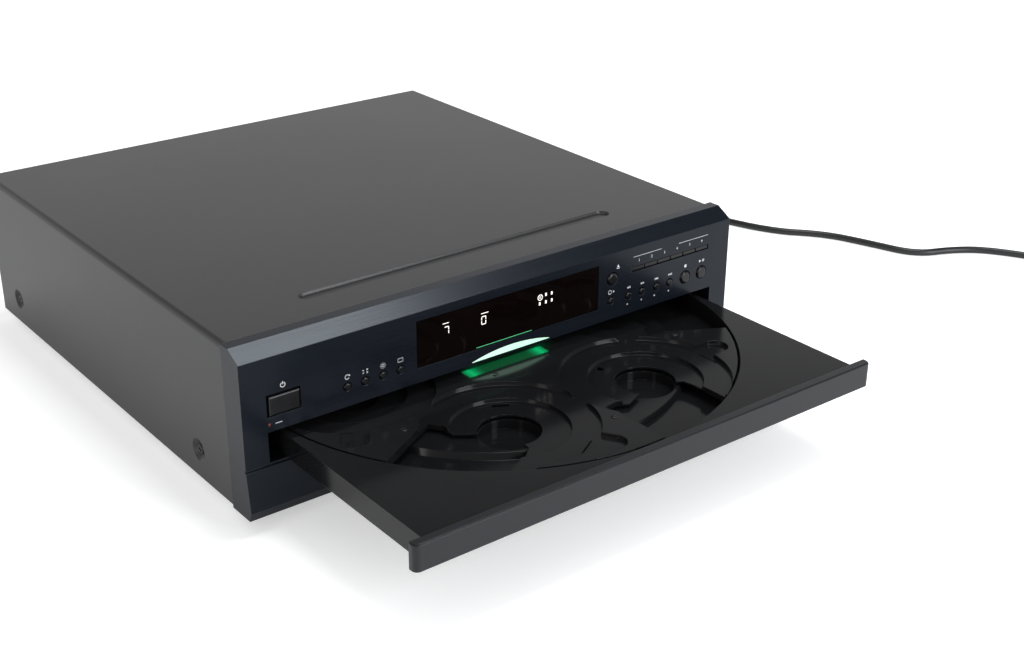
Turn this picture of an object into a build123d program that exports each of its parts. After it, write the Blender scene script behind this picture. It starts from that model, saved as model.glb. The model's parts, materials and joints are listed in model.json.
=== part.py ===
"""A free-standing changer for six discs, with its tray open.

Millimetres. +X is right and +Y is back, seen from the front, and +Z is up. Sizes are
written from the floor, the middle of the width and the face of the front panel. Each
piece is moved by MIDDLE when it is saved, which puts the origin on the floor under the
middle of the object.
"""
from build123d import *
import math
import os

# ---------------------------------------------------------------- driving dimensions
PANEL_WIDTH = 435.0
PANEL_TOP = 131.0
PANEL_DEPTH = 22.3
CASE_WIDTH = 432.0
CASE_TOP = 130.0
CASE_BACK = 433.0
CASE_BOTTOM = 10.4
SHEET = 0.8
WALL = 2.6
DISC_RADIUS = 60.0
SMALL_DISC_RADIUS = 40.0
DISC_COUNT = 6
DISC_RING = 121.5
TRAY_TRAVEL = 164.0
LIFT_TRAVEL = 21.0
PICKUP_TRAVEL = 34.5
CAM_TRAVEL = 30.0
CORD_DIAMETER = 6.5

# ---------------------------------------------------------------- front panel
SEAM = 47.6
SLOT_HALF = 199.5
SLOT_TOP = 70.3
BEVEL_START = 123.7
BEVEL_BACK = 13.1
LENS_HALF = 35.0
LENS_BOTTOM = 72.2
LENS_RISE = 4.5
WINDOW = (-82.0, 82.0, 81.5, 117.0)
SMALL_HOLE = 3.1
ROUND_HOLE = 5.2
POWER_HOLE = (-199.2, -173.8, 81.0, 97.0)
DISC_SLOT = (114.8, 195.2, 103.7, 107.7)
SMALL_BUTTONS = {
    "repeat_button": (-138.2, 85.0),
    "random_button": (-124.1, 85.0),
    "dimmer_button": (-109.8, 85.0),
    "display_button": (-95.6, 85.0),
    "disc_skip_button": (94.9, 85.6),
    "search_back_button": (112.6, 85.3),
    "search_forward_button": (126.4, 85.3),
    "track_back_button": (141.3, 85.3),
    "track_forward_button": (155.0, 85.3),
}
ROUND_BUTTONS = {
    "open_close_button": (95.6, 103.2),
    "stop_button": (171.4, 85.5),
    "play_button": (188.9, 85.5),
}
STANDBY_LAMP = (-197.7, 75.6)
BOARD_FRONT = 16.0

# ---------------------------------------------------------------- tray and carousel
LIP_HALF = 198.3
LIP_FRONT = -165.4
LIP_BACK = -158.8
LIP_BOTTOM = 49.5
LIP_TOP = 68.1
TRAY_HALF = 187.2
TRAY_BACK = 218.0
TRAY_BOTTOM = 48.4
DECK_TOP = 65.5
DECK = 2.5
CAROUSEL_Y = 28.5
RECESS_RADIUS = 184.5
CHANNEL_FLOOR = 52.0
PLATEAU_FLOOR = 56.5
PLATEAU_RADIUS = 145.0
CUP_FLOOR = 49.6
CAROUSEL_RADIUS = 182.5
LAND_TOP = 65.3
DISC_FLOOR = 62.5
SMALL_DISC_FLOOR = 60.0
SKIN = 1.5
HOLE_RADIUS = 21.7
TRAY_HOLE_RADIUS = 21.2
RING_TEETH = 60
PINION_TEETH = 16
MODULE = 1.5
PINION_ANGLE = 60.0

# ---------------------------------------------------------------- mechanism
PLAY_ANGLE = 120.0
PLAY_X = DISC_RING * math.cos(math.radians(PLAY_ANGLE))
PLAY_Y = CAROUSEL_Y + TRAY_TRAVEL + DISC_RING * math.sin(math.radians(PLAY_ANGLE))
PAN_TOP = 11.4
RAIL_FRONT = 30.0
RAIL_BACK = 398.0
RAIL_WALL = 187.6
RAIL_OUT = 192.0
LIFT_PLATE = (19.0, 22.0)
DISC_SEAT = 45.2
RACK_X = 150.0
DRIVE = (RACK_X + MODULE * PINION_TEETH / 2, 200.0)
BIG_TEETH = 48
SMALL_TEETH = 12
FINE = 1.0
PULLEY_ANGLE = 250.53
PULLEY_GROOVE = 10.6
MOTOR_GROOVE = 3.6
MOTOR = (128.0, 150.0)
BELT = 1.6
BRIDGE_BOTTOM = 74.0
SLED_TEETH = 24
SLED_MODULE = 0.8
SLED_RACK_X = -4.0

# ---------------------------------------------------------------- back
JACK_RADIUS = 4.15
JACK_LENGTH = 8.0
BACK_FACE = CASE_BACK - 0.2
JACK_END = BACK_FACE + JACK_LENGTH
JACKS = ((-168.0, 88.0), (-168.0, 70.0))
CORD_EXIT = (180.0, 32.0)
BUSHING_END = BACK_FACE + 30.0
COIL_RADIUS = 42.85
COIL_STEP = 7.1

MIDDLE = (LIP_FRONT + JACK_END) / 2
PRESSURE = math.radians(20)


# ---------------------------------------------------------------- small helpers
def block(x0, x1, y0, y1, z0, z1):
    """A box between two corners."""
    centre = ((x0 + x1) / 2, (y0 + y1) / 2, (z0 + z1) / 2)
    return Pos(*centre) * Box(x1 - x0, y1 - y0, z1 - z0)


def post(x, y, z0, z1, radius, top=None):
    """An upright cylinder, or a cone when the radius at the top differs."""
    place = Pos(x, y, (z0 + z1) / 2)
    if top is None:
        return place * Cylinder(radius, z1 - z0)
    return place * Cone(radius, top, z1 - z0)


def rod(x, y0, y1, z, radius, back=None):
    """A cylinder or cone along Y."""
    place = Pos(x, (y0 + y1) / 2, z) * Rot(-90, 0, 0)
    if back is None:
        return place * Cylinder(radius, y1 - y0)
    return place * Cone(radius, back, y1 - y0)


def drawn_along_x(points, x0, x1):
    """A solid whose outline is given in Y and Z."""
    outline = Plane.YZ.offset(x0) * Polygon(*points, align=None)
    return extrude(outline, amount=x1 - x0, dir=(1, 0, 0))


def drawn_along_z(sketch, z0, z1):
    """A sketch in X and Y made into a solid between two heights."""
    return extrude(Pos(0, 0, z0) * sketch, amount=z1 - z0, dir=(0, 0, 1))


def gear_outline(teeth, module, turn=0.0, play=0.16):
    """Involute flanks in short steps. play thins each tooth, and turn aims tooth 0."""
    pitch = module * teeth / 2
    base = pitch * math.cos(PRESSURE)
    tip = pitch + module
    root = pitch - 1.25 * module
    start = max(base, root)
    levels = [root] + [start + (tip - start) * step / 3 for step in range(4)]
    if base < root:
        levels = levels[1:]
    half = math.pi / (2 * teeth) - play / (2 * pitch) + math.tan(PRESSURE) - PRESSURE
    points = []
    for tooth in range(teeth):
        centre = math.radians(turn) + 2 * math.pi * tooth / teeth
        widths = []
        for radius in levels:
            slope = math.acos(base / radius) if radius > base else 0.0
            widths.append((radius, half - math.tan(slope) + slope))
        flank = [(r, centre - w) for r, w in widths] + [(r, centre + w) for r, w in widths[::-1]]
        points += [(r * math.cos(a), r * math.sin(a)) for r, a in flank]
    return Polygon(*points, align=None)


def gap_towards(direction, teeth):
    """The turn that makes a gear show a gap, not a tooth, in one direction."""
    return direction + 180.0 / teeth


def around(x, y, angle, *solids):
    """Solids turned about the world's Z axis and set at a place."""
    return [Pos(x, y, 0) * Rot(0, 0, angle) * solid for solid in solids]


pieces = {}


def keep(name, *solids):
    """Adds finished solids to the piece of one name."""
    pieces.setdefault(name, []).extend(solids)


# ---------------------------------------------------------------- case
def make_chassis_pan():
    """Floor of the case, with side flanges, screw tabs, stand-offs and vents."""
    half = CASE_WIDTH / 2 - SHEET - 0.3
    front, back = PANEL_DEPTH + 0.3, BACK_FACE - 1.0
    pan = block(-half, half, front, back, CASE_BOTTOM, PAN_TOP)
    pan += block(-half, half, front, front + 1, PAN_TOP, 44)
    for side in (-1, 1):
        pan += block(*sorted((side * half, side * (half - 1))), front, back, PAN_TOP, 21.5)
        for y in (71.2, 394.0):
            pan += block(*sorted((side * 210.6, side * 211.8)), y - 9, y + 9, PAN_TOP, 42)
            pan -= Pos(side * 211, y, 31.9) * Rot(0, 90, 0) * Cylinder(1.5, 4)
        for row in range(6):
            y = 110 + row * 9
            pan -= block(*sorted((side * 60, side * 130)), y, y + 3, CASE_BOTTOM, PAN_TOP)
    keep("chassis_pan", pan)


def make_feet():
    """Four turned feet with a soft edge."""
    for x in (-172, 172):
        for y in (62, 385):
            foot = post(x, y, 0, CASE_BOTTOM, 17, 18.5)
            foot = fillet(foot.edges().sort_by(Axis.Z)[0], 1.5)
            keep("feet", foot)


def make_top_cover():
    """One bent sheet: top and sides, a long pressed groove and four cone dimples."""
    half = CASE_WIDTH / 2
    front, back = PANEL_DEPTH + 0.3, CASE_BACK
    outer = block(-half, half, front, back, CASE_BOTTOM, CASE_TOP)
    outer = fillet(outer.edges().filter_by(Axis.Y).sort_by(Axis.Z)[-2:], 4)
    inner = block(-half + SHEET, half - SHEET, front - 1, back + 1, 0, CASE_TOP - SHEET)
    inner = fillet(inner.edges().filter_by(Axis.Y).sort_by(Axis.Z)[-2:], 4 - SHEET)
    cover = outer - inner
    groove = Pos(0, 56.75, CASE_TOP) * SlotOverall(278, 12.3)
    under = Pos(0, 56.75, CASE_TOP - SHEET) * SlotOverall(279, 13.3)
    cover += extrude(under, amount=-1.9, taper=22)
    cover -= extrude(groove, amount=-1.8, taper=22)
    for side in (-1, 1):
        turn = Rot(0, 90 * side, 0)
        for y in (71.2, 394.0):
            cup = Pos(side * (half - 2.45), y, 31.9) * turn * Cone(5.4, 9.7, 3.3)
            hollow = Pos(side * (half - 1.64), y, 31.9) * turn * Cone(4.6, 8.8, 3.32)
            hole = Pos(side * (half - 4), y, 31.9) * turn * Cylinder(1.8, 4)
            cover = cover + cup - hollow - hole
    keep("top_cover", cover)


def cross_screw(length):
    """A pan head with a cross recess, and its shank, pointing down from z = 0."""
    head = fillet(post(0, 0, 0, 2.2, 3.9).edges().sort_by(Axis.Z)[-1], 1.3)
    cross = block(-2.2, 2.2, -0.45, 0.45, 1.1, 3) + block(-0.45, 0.45, -2.2, 2.2, 1.1, 3)
    return head - cross + post(0, 0, -length, 0, 1.4)


def make_cover_screws():
    """Two screws on each side, in the dimples, and three through the back."""
    for side in (-1, 1):
        for y in (71.2, 394.0):
            place = Pos(side * (CASE_WIDTH / 2 - 3.3), y, 31.9) * Rot(0, 90 * side, 0)
            keep("cover_screws", place * cross_screw(4))
    for x in (-190, 0, 190):
        keep("cover_screws", Pos(x, BACK_FACE, 120) * Rot(-90, 0, 0) * cross_screw(4))


def make_rear_panel():
    """Steel back with openings for the jacks, the cord and air."""
    half = CASE_WIDTH / 2 - SHEET - 0.3
    panel = block(-half, half, BACK_FACE - 1, BACK_FACE, PAN_TOP, CASE_TOP - SHEET - 0.3)
    corners = panel.edges().filter_by(Axis.Y).sort_by(Axis.Z)[-2:]
    panel = fillet(corners, 3.4)
    for x, z in JACKS:
        panel -= rod(x, BACK_FACE - 2, BACK_FACE + 1, z, 6.2)
    panel -= block(-151, -139, BACK_FACE - 2, BACK_FACE + 1, 74, 84)
    panel -= rod(-120, BACK_FACE - 2, BACK_FACE + 1, 79, 3.4)
    panel -= rod(CORD_EXIT[0], BACK_FACE - 2, BACK_FACE + 1, CORD_EXIT[1], 5.8)
    for x in (-190, 0, 190):
        panel -= rod(x, BACK_FACE - 2, BACK_FACE + 1, 120, 1.5)
    for column in range(16):
        x = 40 + column * 8
        panel -= block(x, x + 3.2, BACK_FACE - 2, BACK_FACE + 1, 88, 112)
    keep("rear_panel", panel)


def make_rear_jacks():
    """Two phono jacks, an optical outlet and a small remote jack on one board."""
    board_back = BACK_FACE - 14
    keep("rear_jacks", block(-184, -108, board_back - 1.6, board_back, 60, 98))
    for x, z in JACKS:
        body = block(x - 8, x + 8, board_back, BACK_FACE - 1, z - 8, z + 8)
        flange = rod(x, BACK_FACE - 1, BACK_FACE + 0.6, z, 6.0)
        sleeve = rod(x, BACK_FACE + 0.6, JACK_END, z, JACK_RADIUS)
        jack = body + flange + sleeve - rod(x, BACK_FACE - 8, JACK_END + 1, z, 1.7)
        keep("rear_jacks", jack)
    optical = block(-150.8, -139.2, board_back, BACK_FACE + 1.2, 74.2, 83.8)
    keep("rear_jacks", optical - block(-148.6, -141.4, BACK_FACE - 8, BACK_FACE + 2, 76, 82))
    remote = block(-125, -115, board_back, BACK_FACE - 1, 74, 84)
    remote += rod(-120, BACK_FACE - 1, BACK_FACE + 1, 79, 3.3)
    keep("rear_jacks", remote - rod(-120, BACK_FACE - 8, BACK_FACE + 2, 79, 1.8))


# ---------------------------------------------------------------- front
def make_front_panel():
    """Upper moulding: face, bevel and top, with the slot along its lower edge."""
    half = PANEL_WIDTH / 2
    outer = [(0, SEAM), (0, BEVEL_START), (BEVEL_BACK, PANEL_TOP), (PANEL_DEPTH, PANEL_TOP)]
    inner = [(PANEL_DEPTH, PANEL_TOP - WALL), (BEVEL_BACK + 0.7, PANEL_TOP - WALL)]
    panel = drawn_along_x(outer + inner + [(WALL, BEVEL_START - 1.5), (WALL, SEAM)], -half, half)
    for side in (-1, 1):
        edges = sorted((side * half, side * (half - WALL)))
        panel += drawn_along_x(outer + [(PANEL_DEPTH, SEAM)], *edges)
    panel += block(-SLOT_HALF - 2, SLOT_HALF + 2, 0, 14, SLOT_TOP, SLOT_TOP + 2)
    for side in (-1, 1):
        panel += block(*sorted((side * SLOT_HALF, side * (SLOT_HALF + 2))), 0, 14, SEAM, SLOT_TOP)
    panel -= block(-SLOT_HALF, SLOT_HALF, -1, 15, SEAM - 1, SLOT_TOP)
    panel -= lens_solid(0.15, -1, 15)
    panel -= block(WINDOW[0], WINDOW[1], -1, WALL + 1, WINDOW[2], WINDOW[3])
    panel -= block(POWER_HOLE[0], POWER_HOLE[1], -1, WALL + 1, POWER_HOLE[2], POWER_HOLE[3])
    panel -= block(DISC_SLOT[0], DISC_SLOT[1], -1, WALL + 1, DISC_SLOT[2], DISC_SLOT[3])
    for x, z in SMALL_BUTTONS.values():
        panel -= rod(x, -1, WALL + 1, z, SMALL_HOLE)
        panel -= rod(x, -0.01, 0.4, z, SMALL_HOLE + 0.4, SMALL_HOLE)
    for x, z in ROUND_BUTTONS.values():
        panel -= rod(x, -1, WALL + 1, z, ROUND_HOLE)
        panel -= rod(x, -0.01, 0.5, z, ROUND_HOLE + 0.5, ROUND_HOLE)
    panel -= rod(STANDBY_LAMP[0], -1, WALL + 1, STANDBY_LAMP[1], 1.35)
    for x in (-206, -155, -90, 88, 206):
        for z in (79.0, 120.0):
            panel += rod(x, WALL - 0.5, BOARD_FRONT, z, 2.4)
    keep("front_panel", panel)


def lens_solid(play, front, back):
    """The arched light outlet above the slot: a chord with a shallow arc over it."""
    radius = (LENS_HALF ** 2 + LENS_RISE ** 2) / (2 * LENS_RISE)
    disc = rod(0, front, back, LENS_BOTTOM + LENS_RISE - radius, radius + play)
    return disc & block(-60, 60, front, back, LENS_BOTTOM - play, LENS_BOTTOM + 20)


def make_lower_panel():
    """Strip below the seam: it leans forward and is chamfered along the bottom."""
    half = PANEL_WIDTH / 2
    face = [(1.2, SEAM), (1.2, SEAM - 1.4), (-0.3, SEAM - 2), (-3.4, 17), (-0.6, 10)]
    shell = [(PANEL_DEPTH, 10), (PANEL_DEPTH, 12.4), (1.6, 12.4), (-0.9, 17.3)]
    roof = [(2.1, SEAM - 2.4), (PANEL_DEPTH, SEAM - 2.4), (PANEL_DEPTH, SEAM)]
    panel = drawn_along_x(face + shell + roof, -half, half)
    for side in (-1, 1):
        edges = sorted((side * half, side * (half - WALL)))
        panel += drawn_along_x(face + [(PANEL_DEPTH, 10), (PANEL_DEPTH, SEAM)], *edges)
    keep("lower_panel", panel)


def make_display():
    """Tinted window, the tube behind it and the board that carries the switches."""
    x0, x1, z0, z1 = WINDOW
    gap = 0.15
    window = block(x0 + gap, x1 - gap, 0.3, 2.3, z0 + gap, z1 - gap)
    flange = block(x0 - 3, x1 + 3, WALL, WALL + 1.4, z0 - 3, z1 + 3)
    keep("display_window", window + block(x0 + 1, x1 - 1, 2.3, WALL, z0 + 1, z1 - 1) + flange)
    tube = block(-66, 66, 6.2, 12.6, 87, 113)
    tube = fillet(tube.edges().filter_by(Axis.Y), 2)
    places = [(x, z) for z in (85.6, 113.8) for x in range(-60, 61, 10)]
    pins = [block(x - 0.4, x + 0.4, 9, BOARD_FRONT, z, z + 0.6) for x, z in places]
    bars = [block(-63, 63, 8.8, 10.2, 85.4, 87.0), block(-63, 63, 8.8, 10.2, 113, 114.6)]
    keep("display_tube", tube + bars + pins)
    keep("tray_light_lens", lens_solid(0, -0.4, 12))
    board = block(-209, 209, BOARD_FRONT, BOARD_FRONT + 1.6, 74, 124)
    keep("control_board", board)
    for x, z in list(SMALL_BUTTONS.values()) + list(ROUND_BUTTONS.values()) + disc_places():
        keep("control_board", block(x - 3, x + 3, 13.4, BOARD_FRONT, z - 1.9, z + 1.9))
    keep("control_board", block(-191, -182, 12.5, BOARD_FRONT, 84.5, 93.5))
    keep("control_board", rod(STANDBY_LAMP[0], 0.4, BOARD_FRONT, STANDBY_LAMP[1], 1.2))
    for x in (-20, 0, 20):
        keep("control_board", block(x - 2, x + 2, 13, BOARD_FRONT, 74.2, 77))


def disc_places():
    """Where the six thin disc buttons sit, evenly spread in their slot."""
    pitch = (DISC_SLOT[1] - DISC_SLOT[0]) / DISC_COUNT
    z = (DISC_SLOT[2] + DISC_SLOT[3]) / 2
    return [(DISC_SLOT[0] + pitch * (place + 0.5), z) for place in range(DISC_COUNT)]


def round_button(x, z, radius, proud):
    """A domed cap, a stop flange behind the panel and a stem to the switch."""
    cap = rod(x, -proud, WALL + 0.4, z, radius)
    cap = fillet(cap.edges().sort_by(Axis.Y)[0], radius * 0.35)
    return cap + rod(x, WALL + 0.4, WALL + 1.4, z, radius + 1.2) + rod(x, WALL + 1.4, 12.4, z, 1.6)


def make_buttons():
    """Every button is a piece of its own."""
    for name, (x, z) in SMALL_BUTTONS.items():
        keep(name, round_button(x, z, SMALL_HOLE - 0.3, 0.9))
    for name, (x, z) in ROUND_BUTTONS.items():
        keep(name, round_button(x, z, ROUND_HOLE - 0.35, 1.1))
    for place, (x, z) in enumerate(disc_places(), 1):
        cap = block(x - 6.4, x + 6.4, 0.5, WALL + 0.4, z - 1.6, z + 1.6)
        cap = fillet(cap.edges().sort_by(Axis.Y)[:4], 0.5)
        stop = block(x - 6.2, x + 6.2, WALL + 0.4, WALL + 1.4, z - 3, z + 3)
        keep(f"disc_{place}_button", cap + stop + rod(x, WALL + 1.4, 12.4, z, 1.4))
    x0, x1, z0, z1 = POWER_HOLE
    gap = 1.25
    cap = block(x0 + gap, x1 - gap, -1.4, WALL + 0.4, z0 + gap, z1 - gap)
    cap = fillet(cap.edges().sort_by(Axis.Y)[:4], 0.9)
    stop = block(x0 - 1.5, x1 + 1.5, WALL + 0.4, WALL + 1.6, z0 - 1.5, z1 + 1.5)
    keep("power_button", cap + stop + rod((x0 + x1) / 2, WALL + 1.6, 10.6, (z0 + z1) / 2, 3))


# ---------------------------------------------------------------- tray
def carousel_places():
    """The six disc places at rest: world angle and centre."""
    for place in range(DISC_COUNT):
        angle = place * 360 / DISC_COUNT
        turn = math.radians(angle)
        yield angle, DISC_RING * math.cos(turn), CAROUSEL_Y + DISC_RING * math.sin(turn)


def make_tray():
    """Drawer: deck, round recess with a raised middle, pickup opening and rack."""
    half = TRAY_HALF
    y = CAROUSEL_Y
    tray = block(-half, half, LIP_BACK, TRAY_BACK, TRAY_BOTTOM, DECK_TOP)
    tray -= post(0, y, CHANNEL_FLOOR, DECK_TOP + 1, RECESS_RADIUS)
    pockets = block(-half + DECK, half - DECK, LIP_BACK + DECK, TRAY_BACK - DECK, 40, DECK_TOP - DECK)
    tray -= pockets - post(0, y, 39, DECK_TOP, RECESS_RADIUS + 2)
    tray -= post(0, y, 40, CHANNEL_FLOOR - 2, RECESS_RADIUS)
    tray += post(0, y, CHANNEL_FLOOR - 2, PLATEAU_FLOOR, PLATEAU_RADIUS + 3.5, PLATEAU_RADIUS)
    tray -= post(0, y, 40, PLATEAU_FLOOR - 2, PLATEAU_RADIUS - 2)
    for angle, x, yy in carousel_places():
        if angle in (240, 300):
            tray += post(x, yy, TRAY_BOTTOM, PLATEAU_FLOOR, TRAY_HOLE_RADIUS + 1.8)
            tray -= post(x, yy, CUP_FLOOR, 60, TRAY_HOLE_RADIUS)
    play_y = PLAY_Y - TRAY_TRAVEL
    tray -= post(PLAY_X, play_y, 40, 60, 19)
    tray -= block(PLAY_X - 23.5, PLAY_X + 52.5, play_y + 2, 210, 40, DECK_TOP + 1)
    pinion_x, pinion_y = pinion_place()
    tray -= post(pinion_x, pinion_y, 40, 60, 1.9)
    tray -= post(0, y, 40, 60, 4)
    tray += rack_solid()
    keep("tray", tray)


def rack_solid():
    """Straight teeth under the tray that face the drive gear, on a rib."""
    pitch = math.pi * MODULE
    y0, y1 = DRIVE[1] - TRAY_TRAVEL - 8, DRIVE[1] + 12
    rack = block(RACK_X - 8, RACK_X - 1.25 * MODULE, y0, y1, 42.4, CHANNEL_FLOOR - 1)
    rack += block(RACK_X - 8, RACK_X - 5.5, y1 - 62, y1, CHANNEL_FLOOR - 1, DECK_TOP - 1)
    slope = math.tan(PRESSURE)
    tip = pitch / 4 - 0.08 - MODULE * slope
    foot = pitch / 4 - 0.08 + 1.3 * MODULE * slope
    x0, x1 = RACK_X - 1.3 * MODULE, RACK_X + MODULE
    first = math.ceil((y0 + 3 - DRIVE[1]) / pitch)
    last = math.floor((y1 - 3 - DRIVE[1]) / pitch)
    for tooth in range(first, last + 1):
        y = DRIVE[1] + tooth * pitch
        outline = Polygon((x0, y - foot), (x1, y - tip), (x1, y + tip), (x0, y + foot), align=None)
        rack += drawn_along_z(outline, 42.4, 48)
    return rack


def make_tray_front():
    """The plate on the tray's front, rounded at its upright corners."""
    plate = block(-LIP_HALF, LIP_HALF, LIP_FRONT, LIP_BACK, LIP_BOTTOM, LIP_TOP)
    plate = fillet(plate.edges().filter_by(Axis.Z).sort_by(Axis.Y)[:2], 4)
    top_front = plate.edges().group_by(Axis.Z)[-1].sort_by(Axis.Y)[:3]
    keep("tray_front", chamfer(top_front, 0.9))


def pickup_opening(grow=0.0):
    """Outline of one opening, from the disc hole out past the rim, aimed along +X."""
    near = [(12, -15), (20.1, -32.8), (15.9, -41.6), (17.5, -52.3), (31.9, -53.2)]
    far = [(90, -53.0), (90, 23.2), (27.4, 22.4), (17.6, 20.5), (12, 12)]
    outline = Polygon(*near, *far, align=None)
    return offset(outline, grow, kind=Kind.INTERSECTION) if grow else outline


def make_carousel():
    """Round table: six stepped disc places, pickup openings, finger notches, hub."""
    y = CAROUSEL_Y
    floor = SMALL_DISC_FLOOR - SKIN
    places = list(carousel_places())
    table = post(0, y, floor, LAND_TOP, CAROUSEL_RADIUS)
    under = post(0, y, floor - 1, LAND_TOP - SKIN, CAROUSEL_RADIUS - 2)
    rings = []
    for angle, x, yy in places:
        under -= post(x, yy, floor - 2, LAND_TOP, DISC_RADIUS + 2.8)
        under -= around(x, yy, angle - 30, drawn_along_z(pickup_opening(SKIN), floor - 2, LAND_TOP))[0]
        under -= around(x, yy, angle - 30, block(-13.5, 8.5, 50, 83, floor - 2, LAND_TOP))[0]
        ring = post(x, yy, floor - 1, DISC_FLOOR - SKIN, DISC_RADIUS + 3)
        ring -= post(x, yy, floor - 2, DISC_FLOOR, SMALL_DISC_RADIUS + 2.6)
        ring -= around(x, yy, angle - 30, drawn_along_z(pickup_opening(SKIN), floor - 2, LAND_TOP))[0]
        rings.append(ring)
    table -= [under] + rings
    for index, (angle, x, yy) in enumerate(places):
        cuts = [
            post(0, 0, DISC_FLOOR, LAND_TOP + 0.01, DISC_RADIUS + 1, DISC_RADIUS + 1.5),
            post(0, 0, SMALL_DISC_FLOOR, DISC_FLOOR + 0.01, SMALL_DISC_RADIUS + 1, SMALL_DISC_RADIUS + 1.5),
            post(0, 0, floor - 1, SMALL_DISC_FLOOR + 0.01, HOLE_RADIUS),
            drawn_along_z(pickup_opening(), floor - 1, LAND_TOP + 1),
            post(-2.3, 71.4, DISC_FLOOR, LAND_TOP + 0.01, 9.3, 9.7),
            block(-11.7, 7.1, 50, 71.4, DISC_FLOOR, LAND_TOP + 1),
            block(-3, 15, 56, 57, floor - 1, DISC_FLOOR + 0.5),
        ]
        if index % 2 == 0:
            code = block(-37.7, -33.7, -8, 4, floor - 1, SMALL_DISC_FLOOR + 0.5)
        else:
            code = block(-38, -33, 2.5, 7.5, floor - 1, SMALL_DISC_FLOOR + 0.5)
        table -= around(x, yy, angle - 30, *cuts) + around(x, yy, angle, code)
    hub = post(0, y, 57.2, LAND_TOP - 1, 12)
    hub += Pos(0, y, 0) * drawn_along_z(gear_outline(RING_TEETH, MODULE), 57.2, 60.4)
    hub -= post(0, y, 57, 60.5, 38) - post(0, y, 57, 61, 12)
    hub += post(0, y, 60.4, LAND_TOP - 1, 42) - post(0, y, 60, LAND_TOP, 38)
    table += hub
    table -= post(0, y, 50, 70, 4.05)
    keep("carousel", table)


def pinion_place():
    """Centre of the pinion that turns the carousel."""
    reach = MODULE * (RING_TEETH + PINION_TEETH) / 2
    turn = math.radians(PINION_ANGLE)
    return reach * math.cos(turn), CAROUSEL_Y + reach * math.sin(turn)


def make_carousel_drive():
    """Motor under the tray, pinion above it, and the post that the carousel turns on."""
    x, y = pinion_place()
    motor = post(x, y, 40, PLATEAU_FLOOR - 2, 12) + block(x - 15, x + 15, y - 5, y + 5, 52.5, 54.5)
    keep("carousel_motor", motor - post(x, y, 45, 55, 1.9))
    outline = gear_outline(PINION_TEETH, MODULE, gap_towards(PINION_ANGLE + 180, PINION_TEETH))
    pinion = Pos(x, y, 0) * drawn_along_z(outline, 57.4, 60.4)
    keep("carousel_pinion", pinion + post(x, y, 45.5, 57.4, 1.5))
    bearing = post(0, CAROUSEL_Y, 50.5, 65.6, 4) + post(0, CAROUSEL_Y, PLATEAU_FLOOR, 57, 9)
    head = fillet(post(0, CAROUSEL_Y, 65.6, 67.4, 8).edges().sort_by(Axis.Z)[-1], 1)
    keep("carousel_post", bearing + head)


# ---------------------------------------------------------------- loader
def make_loader_frame():
    """Rails that hold the tray from below and above, cross members and brackets."""
    frame = block(-RAIL_OUT, RAIL_OUT, RAIL_FRONT, RAIL_FRONT + 10, 30, 37)
    frame += block(-RAIL_OUT, RAIL_OUT, 384, 394, 30, 37)
    for side in (-1, 1):
        wall = sorted((side * RAIL_WALL, side * RAIL_OUT))
        ledge = sorted((side * 181, side * RAIL_OUT))
        lip = sorted((side * 182.8, side * RAIL_OUT))
        frame += block(*wall, RAIL_FRONT, RAIL_BACK, 30, 68.5)
        frame += block(*ledge, RAIL_FRONT, RAIL_BACK, 45.2, 48.2)
        frame += block(*lip, RAIL_FRONT, RAIL_BACK, 66, 68.5)
        for y0, y1 in ((30, 48), (240, 255), (380, 398)):
            frame += block(*ledge, y0, y1, PAN_TOP, 45.2)
    frame += drive_bracket() + lift_guides()
    keep("loader_frame", frame)


def drive_bracket():
    """Shelf at the right rail for the tray's motor and gears, with their posts."""
    shelf = block(108, RAIL_WALL + 1, 134, 226, 30, 32) + block(RAIL_WALL - 9, RAIL_WALL, 134, 226, 32, 34)
    for x, y in ((116, 220), (113, 138), (176, 140)):
        shelf += post(x, y, PAN_TOP, 30, 3.5)
    x, y = pulley_place()
    shelf += post(DRIVE[0], DRIVE[1], 32, 44, 2.5) + post(DRIVE[0], DRIVE[1], 32, 37.2, 4.5)
    shelf += post(x, y, 32, 40, 1.5) + post(x, y, 32, 32.8, 3)
    return shelf - post(MOTOR[0], MOTOR[1], 29, 35, 4)


def lift_guides():
    """Two upright guide pins and the groove that the cam plate slides in."""
    guide = block(-116, 24, 252, 260, 30, 37) + block(-116, -107, 250, 378, PAN_TOP, 18)
    guide += block(-116, -105.5, 252, 260, PAN_TOP, 30)
    guide += block(20, 26, 252, 260, PAN_TOP, 33) + block(20, 26, 256, 356, PAN_TOP, 14)
    guide += block(20, RAIL_OUT, 252, 260, 30, 37) + block(-RAIL_OUT, -116, 252, 260, 30, 37)
    for y in (285, 350):
        guide += post(23, y, PAN_TOP, 47, 2.5) + post(23, y, PAN_TOP, 14, 6)
    guide -= block(PLAY_X - 60, 30, 252, 260, 33, 37)
    return guide - block(-112.4, -109.1, 240, 380, 15.3, 48)


def pulley_place():
    """Centre of the belt pulley, in mesh with the large drive gear."""
    reach = FINE * (BIG_TEETH + SMALL_TEETH) / 2
    turn = math.radians(PULLEY_ANGLE)
    return DRIVE[0] + reach * math.cos(turn), DRIVE[1] + reach * math.sin(turn)


def grooved_wheel(radius, z0, z1):
    """A pulley whose groove holds a belt of square section."""
    middle = (z0 + z1) / 2
    wheel = post(0, 0, z0, z1, radius + 1.6)
    groove = post(0, 0, middle - 0.9, middle + 0.9, radius + 3) - post(0, 0, z0, z1, radius)
    return wheel - groove


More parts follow.
